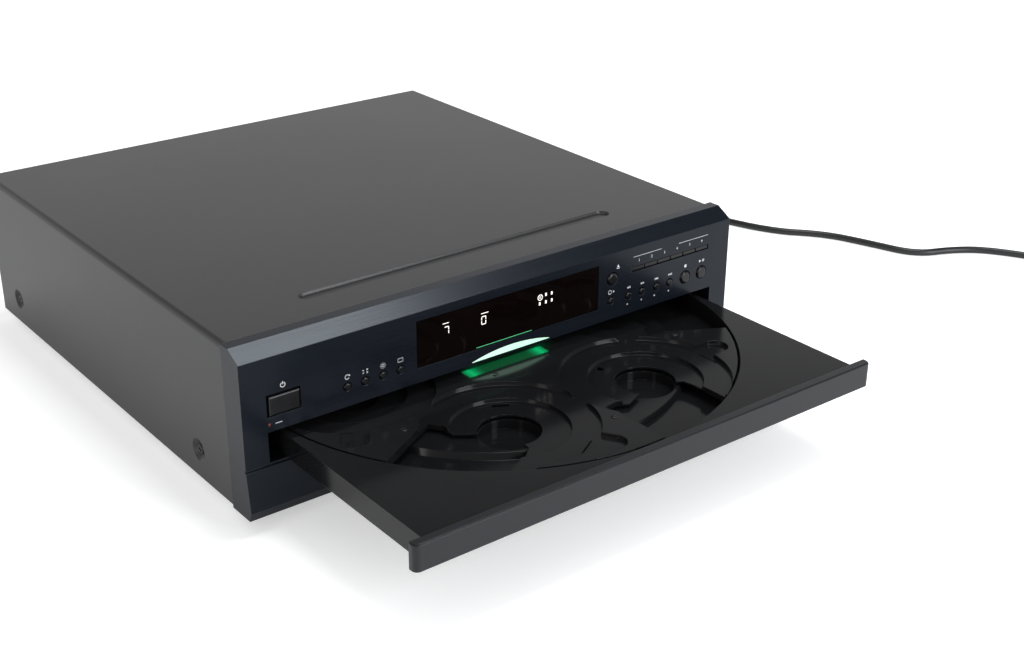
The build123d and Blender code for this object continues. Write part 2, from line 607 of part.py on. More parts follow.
def make_tray_drive():
    """Motor, belt, pulley with its pinion, and the compound gear on the rack."""
    x, y = pulley_place()
    can = post(*MOTOR, 13, 30, 11.5) + post(*MOTOR, 11.6, 13, 4)
    keep("tray_motor", can - post(*MOTOR, 20, 31, 1.2))
    small = grooved_wheel(MOTOR_GROOVE, 33, 36.6) + post(0, 0, 20.5, 33, 1.0)
    keep("motor_pulley", Pos(*MOTOR, 0) * small)
    large = grooved_wheel(PULLEY_GROOVE, 33, 36.6)
    turn = gap_towards(PULLEY_ANGLE - 180, SMALL_TEETH)
    large += drawn_along_z(gear_outline(SMALL_TEETH, FINE, turn), 36.6, 41.0)
    keep("belt_pulley", Pos(x, y, 0) * (large - post(0, 0, 30, 42, 1.55)))
    gear = drawn_along_z(gear_outline(BIG_TEETH, FINE, PULLEY_ANGLE), 37.6, 41.0)
    gear += drawn_along_z(gear_outline(PINION_TEETH, MODULE, gap_towards(180, PINION_TEETH)), 41.0, 47.6)
    keep("drive_gear", Pos(*DRIVE, 0) * (gear - post(0, 0, 37, 48, 2.55)))
    outer = belt_loop((x, y), PULLEY_GROOVE + 0.05 + BELT, MOTOR_GROOVE + 0.05 + BELT)
    inner = belt_loop((x, y), PULLEY_GROOVE + 0.05, MOTOR_GROOVE + 0.05)
    keep("tray_belt", drawn_along_z(outer - inner, 34.8 - BELT / 2, 34.8 + BELT / 2))


def belt_loop(centre, large, small):
    """Area inside a loop drawn tight round two wheels."""
    wheels = (Pos(*centre) * Circle(large)).edges() + (Pos(*MOTOR) * Circle(small)).edges()
    return make_hull(wheels)


# ---------------------------------------------------------------- pickup and clamp
def make_lift():
    """Plate that carries the spindle and the pickup, on pins and guides."""
    low, high = LIFT_PLATE
    plate = block(-104, 17, 268, 378, low, high)
    for y in (285, 350):
        plate += block(14, 29, y - 6, y + 6, low, high)
        plate -= post(23, y, 0, 60, 2.62)
    for y in (280, 340):
        plate += Pos(-108.5, y, 20.5) * Rot(0, 90, 0) * Cylinder(1.9, 11)
    plate -= block(-86, -30, 319, 366, 0, 60)
    for x in (-92, -13):
        for y0, y1 in ((312, 315), (371, 374)):
            plate += block(x - 3.5, x + 3.5, y0, y1, high, 28)
    plate += post(PLAY_X, PLAY_Y, high, 25, 13)
    plate -= post(PLAY_X, PLAY_Y, 0, 60, 2.5)
    for x in (-92, -13):
        plate -= rod(x, 311.5, 374.5, 25.2, 1.52)
        keep("guide_rods", rod(x, 312, 374, 25.2, 1.5))
    plate -= post(5.6, 335, 0, 60, 1.5)
    keep("lift_frame", plate)
    spindle = post(PLAY_X, PLAY_Y, 25, 37, 12) + post(PLAY_X, PLAY_Y, 37, 38.5, 5)
    keep("spindle_motor", spindle - post(PLAY_X, PLAY_Y, 27, 39, 1.05))
    sled_motor = post(5.6, 335, 12.2, low, 9)
    keep("sled_motor", sled_motor - post(5.6, 335, 13, 20, 1.05))


def make_platter():
    """Seat and centring nose that the disc is clamped on, with its shaft."""
    seat = post(PLAY_X, PLAY_Y, DISC_SEAT - 2, DISC_SEAT, 14.5)
    nose = post(PLAY_X, PLAY_Y, DISC_SEAT, DISC_SEAT + 2.1, 7.4, 6)
    hub = post(PLAY_X, PLAY_Y, 39, DISC_SEAT - 2, 6)
    keep("spindle_platter", seat + nose + hub + post(PLAY_X, PLAY_Y, 27.5, 39, 1))


def make_pickup():
    """Sled on two rods, laser block and lens, at the inner end of its travel."""
    lens_y = PLAY_Y + 23.5
    sled = block(-96.5, -9, lens_y - 4.5, lens_y + 12.8, 22.8, 27.2)
    tower = block(-71, -31, lens_y - 4.5, lens_y + 11.5, 27.2, 39)
    tower = fillet(tower.edges().filter_by(Axis.Z), 2.5)
    head = post(PLAY_X, lens_y + 3, 39, 41.5, 6.5) + post(PLAY_X, lens_y, 41.5, 42.4, 3.4)
    sled += block(-9, SLED_RACK_X - 1.25 * SLED_MODULE, 297, 341, 22.8, 26)
    sled += sled_rack_teeth()
    for x in (-92, -13):
        sled -= rod(x, 290, 380, 25.2, 1.56)
    keep("optical_pickup", sled + tower + head)
    lens = Pos(PLAY_X, lens_y, 42.4) * Sphere(2.3) & block(-80, -40, 300, 340, 42.4, 46)
    keep("optical_pickup", lens)


def sled_rack_teeth():
    """Fine rack on the sled that faces the sled gear."""
    pitch = math.pi * SLED_MODULE
    slope = math.tan(PRESSURE)
    tip = pitch / 4 - 0.06 - SLED_MODULE * slope
    foot = pitch / 4 - 0.06 + 1.3 * SLED_MODULE * slope
    x0, x1 = SLED_RACK_X - 1.3 * SLED_MODULE, SLED_RACK_X + SLED_MODULE
    teeth = []
    for tooth in range(-15, 3):
        y = 335 + tooth * pitch
        outline = Polygon((x0, y - foot), (x1, y - tip), (x1, y + tip), (x0, y + foot), align=None)
        teeth.append(drawn_along_z(outline, 22.8, 26))
    return teeth


def make_sled_gear():
    """Gear on the sled motor's shaft."""
    outline = gear_outline(SLED_TEETH, SLED_MODULE, gap_towards(180, SLED_TEETH), 0.12)
    gear = drawn_along_z(outline, 22.6, 26) + post(0, 0, 13.5, 22.6, 1)
    keep("sled_gear", Pos(5.6, 335, 0) * gear)


def make_cam_slider():
    """Upright plate with two slanted slots that lift the pins as it slides forward."""
    plate = block(-112, -109.5, 272, 378, 15.6, 46.4)
    slope = math.atan2(LIFT_TRAVEL, CAM_TRAVEL)
    span = math.hypot(CAM_TRAVEL, LIFT_TRAVEL)
    for y in (280, 340):
        slot = SlotCenterToCenter(span, 4.4)
        middle = (y + CAM_TRAVEL / 2, 20.5 + LIFT_TRAVEL / 2)
        outline = Plane.YZ.offset(-113) * Pos(*middle) * Rot(0, 0, math.degrees(slope)) * slot
        plate -= extrude(outline, amount=5)
    keep("cam_slider", plate)


def make_clamp():
    """Bridge over the tray and the disc clamp that hangs in it."""
    z = BRIDGE_BOTTOM
    bridge = block(-RAIL_OUT - 2, RAIL_OUT + 2, PLAY_Y - 22, PLAY_Y + 22, z, z + 2)
    for y in (PLAY_Y - 22, PLAY_Y + 20):
        bridge += block(-RAIL_OUT - 2, RAIL_OUT + 2, y, y + 2, z + 2, z + 7)
    for side in (-1, 1):
        foot = sorted((side * (RAIL_OUT - 8), side * (RAIL_OUT + 2)))
        bridge += block(*foot, PLAY_Y - 22, PLAY_Y + 22, 68.5, z)
    bridge -= post(PLAY_X, PLAY_Y, z - 1, z + 3, 12)
    keep("clamp_bridge", bridge)
    clamp = post(PLAY_X, PLAY_Y, 70, 72.5, 17) + post(PLAY_X, PLAY_Y, 72.5, z + 2.2, 11)
    clamp += post(PLAY_X, PLAY_Y, z + 2.2, z + 4.2, 15)
    keep("disc_clamp", clamp - post(PLAY_X, PLAY_Y, 69, 71.4, 8.5))


# ---------------------------------------------------------------- electronics
def make_electronics():
    """Transformer, power board and main board on the floor of the case."""
    core = block(54, 104, 300, 342, 14.4, 44) + block(48, 110, 312, 330, PAN_TOP, 14.4)
    keep("mains_transformer", core + block(59, 99, 292, 350, 19, 39))
    stack = [(114, 178, 296, 378), (-178, -24, 56, 226)]
    for name, (x0, x1, y0, y1) in zip(("power_board", "main_board"), stack):
        keep(name, block(x0, x1, y0, y1, 17, 18.6))
        for x in (x0 + 5, x1 - 5):
            for y in (y0 + 5, y1 - 5):
                keep(name, post(x, y, PAN_TOP, 17, 3))
    for x, y, radius, height in ((128, 316, 8, 20), (150, 316, 8, 20), (128, 340, 5, 14), (144, 340, 5, 14)):
        keep("power_board", post(x, y, 18.6, 18.6 + height, radius))
    keep("power_board", block(160, 174, 330, 366, 18.6, 36))
    for x, y, size, height in ((-140, 110, 28, 2.4), (-90, 100, 20, 2.4), (-90, 160, 24, 2.4), (-150, 180, 14, 4)):
        keep("main_board", block(x - size / 2, x + size / 2, y - size / 2, y + size / 2, 18.6, 18.6 + height))
    for column in range(6):
        keep("main_board", post(-120 + column * 15, 205, 18.6, 30, 4))


# ---------------------------------------------------------------- mains cord
LEAD_ROUTE = (
    (180, BUSHING_END, 32),
    (180, 488, 32),
    (186, 517, 20),
    (206, 545, 6),
    (242, 560, 3.25),
    (290, 549, 3.25),
    (338, 512, 3.25),
    (370, 456, 3.25),
    (391, 392, 3.25),
    (411, 326, 3.25),
    (436, 256, 3.25),
    (461, 173, 3.25),
    (498, 135.7, 3.25),
    (514, 90, 3.25),
    (527.4, 46.5, 3.25),
    (562.8, 33.5, 3.25),
    (590, 13.5, 3.25),
    (617, -36, 3.25),
    (627.6, -78, 3.25),
    (628, -108, 3.25),
)
COIL_CENTRE = (628 - COIL_RADIUS, -130.0)
COIL_TURNS = 4
PLUG_BODY = (34.0, 25.0, 20.7)


def corner_radii(points):
    """Each corner's arc: 0.45 of the shorter run over the tangent of half the turn."""
    radii = []
    for before, here, after in zip(points, points[1:], points[2:]):
        a = Vector(*here) - Vector(*before)
        b = Vector(*after) - Vector(*here)
        turn = math.radians(a.get_angle(b))
        radii.append(0.45 * min(a.length, b.length) / math.tan(turn / 2))
    return radii


def tube(path, start, direction):
    """A round tube of the cord's section along a path."""
    section = Plane(origin=start, z_dir=direction) * Circle(CORD_DIAMETER / 2)
    return sweep(section, path=path)


def coil_arcs():
    """Half turns wound clockwise: inward on the floor, one climbing, outward on top."""
    step = COIL_STEP / 2
    x, y, z = COIL_CENTRE[0] + COIL_RADIUS, COIL_CENTRE[1], CORD_DIAMETER / 2
    radius, side = COIL_RADIUS, -1
    arcs = []
    for half_turn in range(2 * COIL_TURNS):
        rise = COIL_STEP if half_turn == COIL_TURNS else 0.0
        end = (x + side * 2 * radius, y, z + rise)
        middle = (x + side * radius, y + side * radius, z + rise / 2)
        arcs.append(((x, y, z), middle, end))
        x, z, side = end[0], end[2], -side
        radius += step if half_turn >= COIL_TURNS else -step
    turned = math.sqrt(0.5) * radius
    bend = (x - radius + turned, y - turned, z)
    arcs.append(((x, y, z), bend, (x - radius, y - radius, z)))
    return arcs


def own_gap(points, apart=25.0):
    """Least distance between stretches of the cord that are not neighbours, less its diameter."""
    along = [0.0]
    for before, here in zip(points, points[1:]):
        along.append(along[-1] + (here - before).length)
    least = min(
        (points[i] - points[j]).length
        for i in range(len(points))
        for j in range(i)
        if along[i] - along[j] > apart
    )
    return least - CORD_DIAMETER


def make_cord():
    """Bushing, lead, coil of the spare length, the short tail and the plug."""
    x, z = CORD_EXIT
    bushing = rod(x, BACK_FACE, BUSHING_END, z, 6.4, 4.2)
    bushing += rod(x, BACK_FACE, BACK_FACE + 2.4, z, 8) + rod(x, BACK_FACE - 6, BACK_FACE, z, 5.6)
    keep("cord_bushing", bushing)
    arcs = coil_arcs()
    start, end = Vector(*arcs[0][0]), Vector(*arcs[-1][2])
    lead_in = start + Vector(0, CORD_DIAMETER, 0)
    lead_out = end - Vector(CORD_DIAMETER, 0, 0)
    route = list(LEAD_ROUTE) + [tuple(lead_in)]
    radii = corner_radii(route)
    path = FilletPolyline(*route, radius=radii)
    lead = tube(path, route[0], Vector(*route[1]) - Vector(*route[0]))
    keep("mains_cord", lead)
    turns = [Edge.make_line(lead_in, start)] + [ThreePointArc(*arc).edge() for arc in arcs]
    coil_path = Wire(turns + [Edge.make_line(end, lead_out)])
    keep("mains_cord_coil", tube(coil_path, lead_in, (0, -1, 0)))
    tail = lead_out - Vector(COIL_RADIUS - 8, 0, 0)
    keep("mains_cord", tube(Edge.make_line(lead_out, tail), lead_out, (-1, 0, 0)))
    keep("mains_plug", plug_at(tail))
    area = math.pi * CORD_DIAMETER ** 2 / 4
    samples = [coil_path @ (i / 600) for i in range(601)]
    print("arc radii of the lead", [round(radius, 1) for radius in radii])
    print("volume over section times length", round(lead.volume / (path.length * area), 5))
    print("least gap of the coil to itself", round(own_gap(samples), 2))
    print("lengths: lead", round(path.length), "coil", round(coil_path.length), "tail", round((lead_out - tail).length))


def plug_at(tail):
    """Two-blade plug that lies on its side, with a ribbed neck towards the cord."""
    length, width, height = PLUG_BODY
    x, y, z = tail.X, tail.Y, tail.Z
    body = block(x - length, x - 8, y - width / 2, y + width / 2, z - height / 2, z + height / 2)
    body = fillet(body.edges().filter_by(Axis.X), 6)
    body = fillet(body.edges().sort_by(Axis.X)[-8:], 2)
    neck = Pos(x - 6, y, z) * Rot(0, 90, 0) * Cone(8, 4.6, 12)
    plug = body + neck
    for side in (-1, 1):
        blade_y = y + side * 6.35
        plug += block(x - length - 17, x - length, blade_y - 0.75, blade_y + 0.75, z - 3.2, z + 3.2)
    return plug


def main():
    make_chassis_pan()
    make_feet()
    make_top_cover()
    make_cover_screws()
    make_rear_panel()
    make_rear_jacks()
    make_front_panel()
    make_lower_panel()
    make_display()
    make_buttons()
    make_tray()
    make_tray_front()
    make_carousel()
    make_carousel_drive()
    make_loader_frame()
    make_tray_drive()
    make_lift()
    make_platter()
    make_pickup()
    make_sled_gear()
    make_cam_slider()
    make_clamp()
    make_electronics()
    make_cord()
    os.makedirs("parts", exist_ok=True)
    for name, solids in pieces.items():
        placed = [Pos(0, -MIDDLE, 0) * solid for solid in solids]
        shape = placed[0] if len(placed) == 1 else Compound(placed)
        export_step(shape, f"parts/{name}.step")


main()
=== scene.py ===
# %% [markdown]
# # A changer for six discs, with its tray open
# The solids come packed from the CAD model and stay where they are. This lesson gives each
# of them its finish, and adds what is too fine for the solids: printing, the display's lit
# signs, small screws and the mains lead. Everything is in metres, in the CAD model's frame:
# +X is right, +Y is back and +Z is up.

# %% Load the solids
import json
import math

import bmesh
import bpy
import numpy as np
from mathutils import Matrix, Vector


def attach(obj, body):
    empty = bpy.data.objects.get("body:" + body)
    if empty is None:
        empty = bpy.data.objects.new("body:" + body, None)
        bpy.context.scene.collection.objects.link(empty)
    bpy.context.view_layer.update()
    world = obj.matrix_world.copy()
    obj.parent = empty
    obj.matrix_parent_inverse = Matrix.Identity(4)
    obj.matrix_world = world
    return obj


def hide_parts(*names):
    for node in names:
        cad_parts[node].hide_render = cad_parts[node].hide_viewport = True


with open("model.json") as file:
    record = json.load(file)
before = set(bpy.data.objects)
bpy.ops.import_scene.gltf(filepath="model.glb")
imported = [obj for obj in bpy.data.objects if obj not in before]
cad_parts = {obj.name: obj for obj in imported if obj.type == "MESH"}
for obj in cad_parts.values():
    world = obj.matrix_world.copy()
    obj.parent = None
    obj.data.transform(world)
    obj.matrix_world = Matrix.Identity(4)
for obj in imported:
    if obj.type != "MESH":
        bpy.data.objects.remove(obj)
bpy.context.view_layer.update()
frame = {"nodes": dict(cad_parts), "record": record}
nodes = frame["nodes"]
scene = bpy.context.scene

# %% [markdown]
# Sizes on the real object are easiest to say in millimetres from the face of the front
# panel. The solids' origin lies under the middle of the object, MIDDLE behind that face.

# %% Millimetres from the front panel's face
MIDDLE = 137.7
MM = 0.001


def at(x, y, z):
    """A point given in millimetres from the panel's face, as metres in the solids' frame."""
    return (x * MM, (y - MIDDLE) * MM, z * MM)


# %% [markdown]
# The camera stands at the front left, above the tray. Its place and turn were solved from the
# edges of the real object, so the picture's outlines fall on the photograph's. Yaw and pitch
# give the direction it looks in, and roll turns the picture about that direction.

# %% Camera
YAW, PITCH, ROLL = np.radians((38.02, -24.94, 0.31))
CAMERA_PLACE = at(-604.15, -773.46, 542.04)
SENSOR_WIDTH, FOCAL_LENGTH = 36.0, 53.07

level = Vector((math.sin(YAW), math.cos(YAW), 0.0))
forward = level * math.cos(PITCH) + Vector((0, 0, math.sin(PITCH)))
level_right = forward.cross(Vector((0, 0, 1))).normalized()
level_up = level_right.cross(forward)
right = level_right * math.cos(ROLL) + level_up * math.sin(ROLL)
up = level_up * math.cos(ROLL) - level_right * math.sin(ROLL)
turn = Matrix((right, up, -forward)).transposed().to_4x4()

camera = bpy.data.objects.new("camera", bpy.data.cameras.new("camera"))
camera.matrix_world = Matrix.Translation(CAMERA_PLACE) @ turn
camera.data.sensor_width, camera.data.lens = SENSOR_WIDTH, FOCAL_LENGTH
camera.data.clip_start = 0.01
scene.collection.objects.link(camera)
scene.camera = camera
scene.view_settings.view_transform = "Standard"
print("camera at", CAMERA_PLACE, "looks along", tuple(forward))

# %% [markdown]
# Shader sums read best as sums. A Wire holds one socket, and each +, -, *, < or > between
# wires and numbers adds a Math node. A Finish is one material with one Principled shader, and
# its node() adds any other node: settings come first, then values or wires for the sockets.


# %% Shader helpers
class Wire:
    """One output socket that takes part in sums."""

    def __init__(self, tree, socket):
        self.tree, self.socket = tree, socket

    def sum(self, operation, first, second):
        """The output of a new Math node on two wires or numbers."""
        node = self.tree.nodes.new("ShaderNodeMath")
        node.operation = operation
        plug_in(self.tree, node.inputs[0], first)
        plug_in(self.tree, node.inputs[1], second)
        return Wire(self.tree, node.outputs[0])

    def __add__(self, other):
        return self.sum("ADD", self, other)

    def __sub__(self, other):
        return self.sum("SUBTRACT", self, other)

    def __rsub__(self, other):
        return self.sum("SUBTRACT", other, self)

    def __mul__(self, other):
        return self.sum("MULTIPLY", self, other)

    def __gt__(self, other):
        return self.sum("GREATER_THAN", self, other)

    def __lt__(self, other):
        return self.sum("LESS_THAN", self, other)

    def __abs__(self):
        return self.sum("ABSOLUTE", self, 0.0)

    def at_least(self, other):
        return self.sum("MAXIMUM", self, other)

    def at_most(self, other):
        return self.sum("MINIMUM", self, other)

    __radd__, __rmul__ = __add__, __mul__


def plug_in(tree, socket, value):
    """Links a wire to a socket, or sets the socket's own value."""
    if isinstance(value, Wire):
        tree.links.new(value.socket, socket)
    elif hasattr(value, "__len__") and len(value) == 3 and socket.type == "RGBA":
        socket.default_value = (*value, 1.0)
    else:
        socket.default_value = value


class Finish:
    """A material whose Principled shader takes its sockets by name."""

    def __init__(self, name):
        self.material = bpy.data.materials.new(name)
        self.material.use_nodes = True
        self.tree = self.material.node_tree
        self.shader = self.tree.nodes["Principled BSDF"]

    def node(self, kind, settings=None, inputs=None, output=0):
        """One output of a new node, with its settings first and then its sockets."""
        new = self.tree.nodes.new("ShaderNode" + kind)
        for key, value in (settings or {}).items():
            setattr(new, key, value)
        for key, value in (inputs or {}).items():
            plug_in(self.tree, new.inputs[key], value)
        return Wire(self.tree, new.outputs[output])

    def set(self, **sockets):
        """Sets or links sockets of the shader, whose spaces are written as underscores."""
        for key, value in sockets.items():
            plug_in(self.tree, self.shader.inputs[key.replace("_", " ")], value)

    def place(self, stretch=(1, 1, 1)):
        """Where a point lies on the piece in metres, stretched for streaks."""
        here = self.node("TexCoord", output=3)
        return self.node("Mapping", inputs={"Vector": here, "Scale": stretch})

    def grain(self, scale, detail=2.0, stretch=(1, 1, 1)):
        """Cloudy noise from 0 to 1 whose blots are about 1 / scale metres wide."""
        sockets = {"Vector": self.place(stretch), "Scale": scale, "Detail": detail}
        return self.node("TexNoise", inputs=sockets)

    def between(self, mask, low, high):
        """A colour between two, as far along as the mask says."""
        settings = {"data_type": "RGBA"}
        inputs = {0: mask, 6: (*low, 1.0), 7: (*high, 1.0)}
        return self.node("Mix", settings, inputs, output=2)

    def rounded(self, radius, height=None, depth=0.0001):
        """A normal that softens the sharp edges of a solid, with fine relief on top."""
        soft = self.node("Bevel", {"samples": 4}, {"Radius": radius})
        if height is None:
            return soft
        inputs = {"Strength": 1.0, "Distance": depth, "Height": height, "Normal": soft}
        return self.node("Bump", inputs=inputs)


finishes = {}

# %% [markdown]
# The steel cover has a fine powder coat: almost black, satin, with a faint pebble in it. What
# looks like grey in the photograph is mostly the white studio, seen at a low angle.

# %% Powder coat on steel
coat = finishes["painted_steel"] = Finish("powder_coat")
pebble = coat.grain(3200.0, 1.0)
cloud = coat.grain(9.0, 3.0)
coat.set(
    Base_Color=coat.between(cloud, (0.020, 0.020, 0.0208), (0.027, 0.0265, 0.0275)),
    Roughness=0.32 + 0.05 * cloud,
    Specular_IOR_Level=0.40,
    Normal=coat.rounded(0.0006, pebble, 0.00001),
)
print("cover", coat.material.name)

# %% [markdown]
# The front is a blue-black moulding with a hairline finish: very long, thin scratches that
# run along it. Noise that is stretched a hundred times along X gives the same streaks.

# %% Hairline front
front = finishes["front_plastic"] = Finish("hairline_blue_black")
hairs = front.grain(1.0, 3.0, stretch=(14.0, 600.0, 2600.0))
wide_hairs = front.grain(1.0, 2.0, stretch=(5.0, 200.0, 420.0))
front.set(
    Base_Color=front.between(
        0.6 * hairs + 0.4 * wide_hairs, (0.0036, 0.0050, 0.0080), (0.0075, 0.0100, 0.0150)
    ),
    Roughness=0.19 + 0.10 * hairs,
    Specular_IOR_Level=0.24,
    Specular_Tint=(0.84, 0.92, 1.0),
    Normal=front.rounded(0.0005, hairs, 0.000006),
)
print("front", front.material.name)

# %% [markdown]
# The tray and the carousel are one black, glossy-satin moulding. Their colour is almost nothing;
# what shows their steps is the reflection on each wall, so the roughness stays low and varies
# a little, the way a mould leaves it. Every edge of a moulding has a small radius, which the
# Bevel node gives the solids without changing them.

# %% Tray and carousel
tray_finish = finishes["tray_plastic"] = Finish("tray_black")
fine = tray_finish.grain(1400.0, 2.0)
smear = tray_finish.grain(24.0, 2.0)
tray_finish.set(
    Base_Color=tray_finish.between(smear, (0.0055, 0.0057, 0.0063), (0.0080, 0.0082, 0.0090)),
    Roughness=0.11 + 0.05 * smear,
    Specular_IOR_Level=0.20,
    Normal=tray_finish.rounded(0.0007, fine, 0.000002),
)
print("tray", tray_finish.material.name)

# %% [markdown]
# The plate on the tray's front has the front's hairline, with less blue in it. The buttons are
# plain black caps, and the window is a dark sheet with a trace of red, nearly a black mirror.

# %% Tray plate, buttons and window
lip = finishes["lip_plastic"] = Finish("tray_plate_black")
lip_hairs = lip.grain(1.0, 3.0, stretch=(14.0, 600.0, 2600.0))
lip.set(
    Base_Color=lip.between(lip_hairs, (0.005, 0.006, 0.008), (0.011, 0.0125, 0.0155)),
    Roughness=0.30 + 0.12 * lip_hairs,
    Specular_IOR_Level=0.38,
    Normal=lip.rounded(0.0005, lip_hairs, 0.000006),
)
button_finish = finishes["button"] = Finish("button_black")
button_grain = button_finish.grain(900.0, 2.0)
button_finish.set(
    Base_Color=button_finish.between(button_grain, (0.003, 0.003, 0.0035), (0.006, 0.006, 0.007)),
    Roughness=0.20 + 0.1 * button_grain,
    Specular_IOR_Level=0.35,
    Normal=button_finish.rounded(0.0004),
)
window_finish = finishes["window"] = Finish("smoked_window")
window_cloud = window_finish.grain(30.0, 2.0)
window_finish.set(
    Base_Color=window_finish.between(window_cloud, (0.002, 0.0012, 0.0012), (0.004, 0.002, 0.0018)),
    Roughness=0.03 + 0.02 * window_cloud,
    Specular_IOR_Level=0.14,
)
print("plate, buttons and window", [each.material.name for each in (lip, button_finish, window_finish)])

# %% [markdown]
# The arch over the slot is a light guide: milky plastic, lit from behind by green lamps, so
# bright that its middle looks white. It glows by itself and lights little else.

# %% The lit arch
lens = finishes["lens"] = Finish("lit_arch")
glow = lens.grain(60.0, 1.0)
lens.set(
    Base_Color=(0.10, 0.25, 0.15),
    Roughness=0.35,
    Emission_Color=lens.between(glow, (0.52, 1.0, 0.70), (0.80, 1.0, 0.88)),
    Emission_Strength=1.0,
)
print("arch", lens.material.name)

# %% [markdown]
# Four metals are inside and at the back. Zinc plating shows crystals, which Voronoi cells
# imitate; a motor's can has fine rings from drawing it; the screws are blackened; and the
# transformer's core is a stack of sheets, which thin waves along Z draw.

# %% Metals
zinc = finishes["zinc_steel"] = Finish("zinc_plated_steel")
spangle = zinc.node("TexVoronoi", inputs={"Vector": zinc.place(), "Scale": 180.0})
zinc.set(
    Base_Color=zinc.between(spangle, (0.42, 0.43, 0.44), (0.60, 0.61, 0.62)),
    Metallic=1.0,
    Roughness=0.28 + 0.16 * spangle,
    Normal=zinc.rounded(0.0003),
)
motor = finishes["motor_can"] = Finish("plated_can")
turned = motor.grain(1.0, 2.0, stretch=(60.0, 60.0, 2500.0))
motor.set(
    Base_Color=motor.between(turned, (0.50, 0.50, 0.51), (0.66, 0.66, 0.67)),
    Metallic=1.0,
    Roughness=0.25 + 0.2 * turned,
    Normal=motor.rounded(0.0003),
)
screw_finish = finishes["black_screw"] = Finish("black_oxide")
oxide = screw_finish.grain(1500.0, 2.0)
screw_finish.set(
    Base_Color=screw_finish.between(oxide, (0.012, 0.012, 0.012), (0.035, 0.034, 0.033)),
    Metallic=0.6,
    Roughness=0.28 + 0.15 * oxide,
    Normal=screw_finish.rounded(0.0002),
)
core = finishes["transformer_core"] = Finish("varnished_laminations")
sheets = {"Vector": core.place(), "Scale": 640.0, "Distortion": 0.2}
layers = core.node("TexWave", {"bands_direction": "Z"}, sheets)
core.set(
    Base_Color=core.between(layers, (0.06, 0.055, 0.05), (0.15, 0.14, 0.13)),
    Metallic=0.7,
    Roughness=0.5 - 0.1 * layers,
    Normal=core.rounded(0.0004, layers, 0.00004),
)
print("metals", [each.material.name for each in (zinc, motor, screw_finish, core)])

# %% [markdown]
# Rubber is matt with a trace of talc, and a cord's sheath is smoother. A board has brick-like
# tracks and round pads under green lacquer. Frames are grained black mouldings, and gears
# are milky natural acetal.

# %% Rubber, boards, frames and gears
rubber = finishes["rubber"] = Finish("black_rubber")
talc = rubber.grain(1800.0, 3.0)
rubber.set(
    Base_Color=rubber.between(talc, (0.012, 0.012, 0.012), (0.028, 0.028, 0.028)),
    Roughness=0.62 + 0.15 * talc,
    Normal=rubber.rounded(0.0004, talc, 0.00003),
)
sheath = finishes["cord_rubber"] = Finish("cord_sheath")
scuff = sheath.grain(1200.0, 2.0)
sheath.set(
    Base_Color=sheath.between(scuff, (0.009, 0.009, 0.0095), (0.016, 0.016, 0.0165)),
    Roughness=0.32 + 0.14 * scuff,
    Normal=sheath.rounded(0.0005, scuff, 0.00001),
)
board = finishes["board"] = Finish("circuit_board")
bricks = {"Vector": board.place(), "Scale": 220.0, "Mortar Size": 0.05}
tracks = board.node("TexBrick", inputs=bricks, output=1)
pads = board.node("TexVoronoi", inputs={"Vector": board.place(), "Scale": 330.0})
board.set(
    Base_Color=board.between(
        0.6 * tracks + 0.3 * (pads > 0.75), (0.010, 0.065, 0.028), (0.05, 0.16, 0.07)
    ),
    Roughness=0.35 + 0.2 * pads,
    Normal=board.rounded(0.0003, tracks, 0.00003),
)
mechanism = finishes["mechanism_plastic"] = Finish("black_moulded_frame")
mould = mechanism.grain(700.0, 3.0)
mechanism.set(
    Base_Color=mechanism.between(mould, (0.018, 0.018, 0.019), (0.030, 0.030, 0.031)),
    Roughness=0.45 + 0.15 * mould,
    Normal=mechanism.rounded(0.0005, mould, 0.00002),
)
gear_finish = finishes["gear_plastic"] = Finish("natural_acetal")
milk = gear_finish.grain(300.0, 2.0)
gear_finish.set(
    Base_Color=gear_finish.between(milk, (0.66, 0.64, 0.56), (0.78, 0.76, 0.68)),
    Roughness=0.35 + 0.1 * milk,
    Normal=gear_finish.rounded(0.0003),
)
print("frames and gears", mechanism.material.name, gear_finish.material.name)

# %% [markdown]
# Two finishes change along a piece. A jack is a black body whose sleeve outside the back is
# nickel, and a plug is a rubber body with brass blades: a comparison of the place with a
# plane gives 0 on one side and 1 on the other. The display's tube is plain dark glass.

# %% Jacks, plug and display tube
REAR_FACE = 433.2
BLADES_START = 0.5098

jack_finish = finishes["jack"] = Finish("nickel_and_black_shell")
depth = jack_finish.node("SeparateXYZ", inputs={0: jack_finish.place()}, output=1)
behind = depth > (REAR_FACE - MIDDLE) * MM
jack_finish.set(
    Base_Color=jack_finish.between(behind, (0.02, 0.02, 0.02), (0.62, 0.60, 0.56)),
    Metallic=behind,
    Roughness=0.40 - 0.16 * behind,
    Normal=jack_finish.rounded(0.0002),
)
plug_finish = Finish("plug_with_blades")
rub = plug_finish.grain(1200.0, 2.0)
blade = plug_finish.node("SeparateXYZ", inputs={0: plug_finish.place()}, output=0) < BLADES_START
plug_finish.set(
    Base_Color=plug_finish.between(blade, (0.012, 0.012, 0.0125), (0.70, 0.58, 0.34)),
    Metallic=blade,
    Roughness=0.30 + 0.14 * rub,
    Normal=plug_finish.rounded(0.0005, rub, 0.00001),
)
glass = finishes["tube_glass"] = Finish("display_tube")
grid_lines = glass.grain(900.0, 1.0)
glass.set(
    Base_Color=glass.between(grid_lines, (0.05, 0.06, 0.06), (0.10, 0.11, 0.11)),
    Roughness=0.06 + 0.05 * grid_lines,
    Normal=glass.rounded(0.0004),
)
print("jack, plug and tube", [each.material.name for each in (jack_finish, plug_finish, glass)])

# %% [markdown]
# The record names a material slot for every solid, so one loop dresses them all. Only the
# plug has a finish of its own.

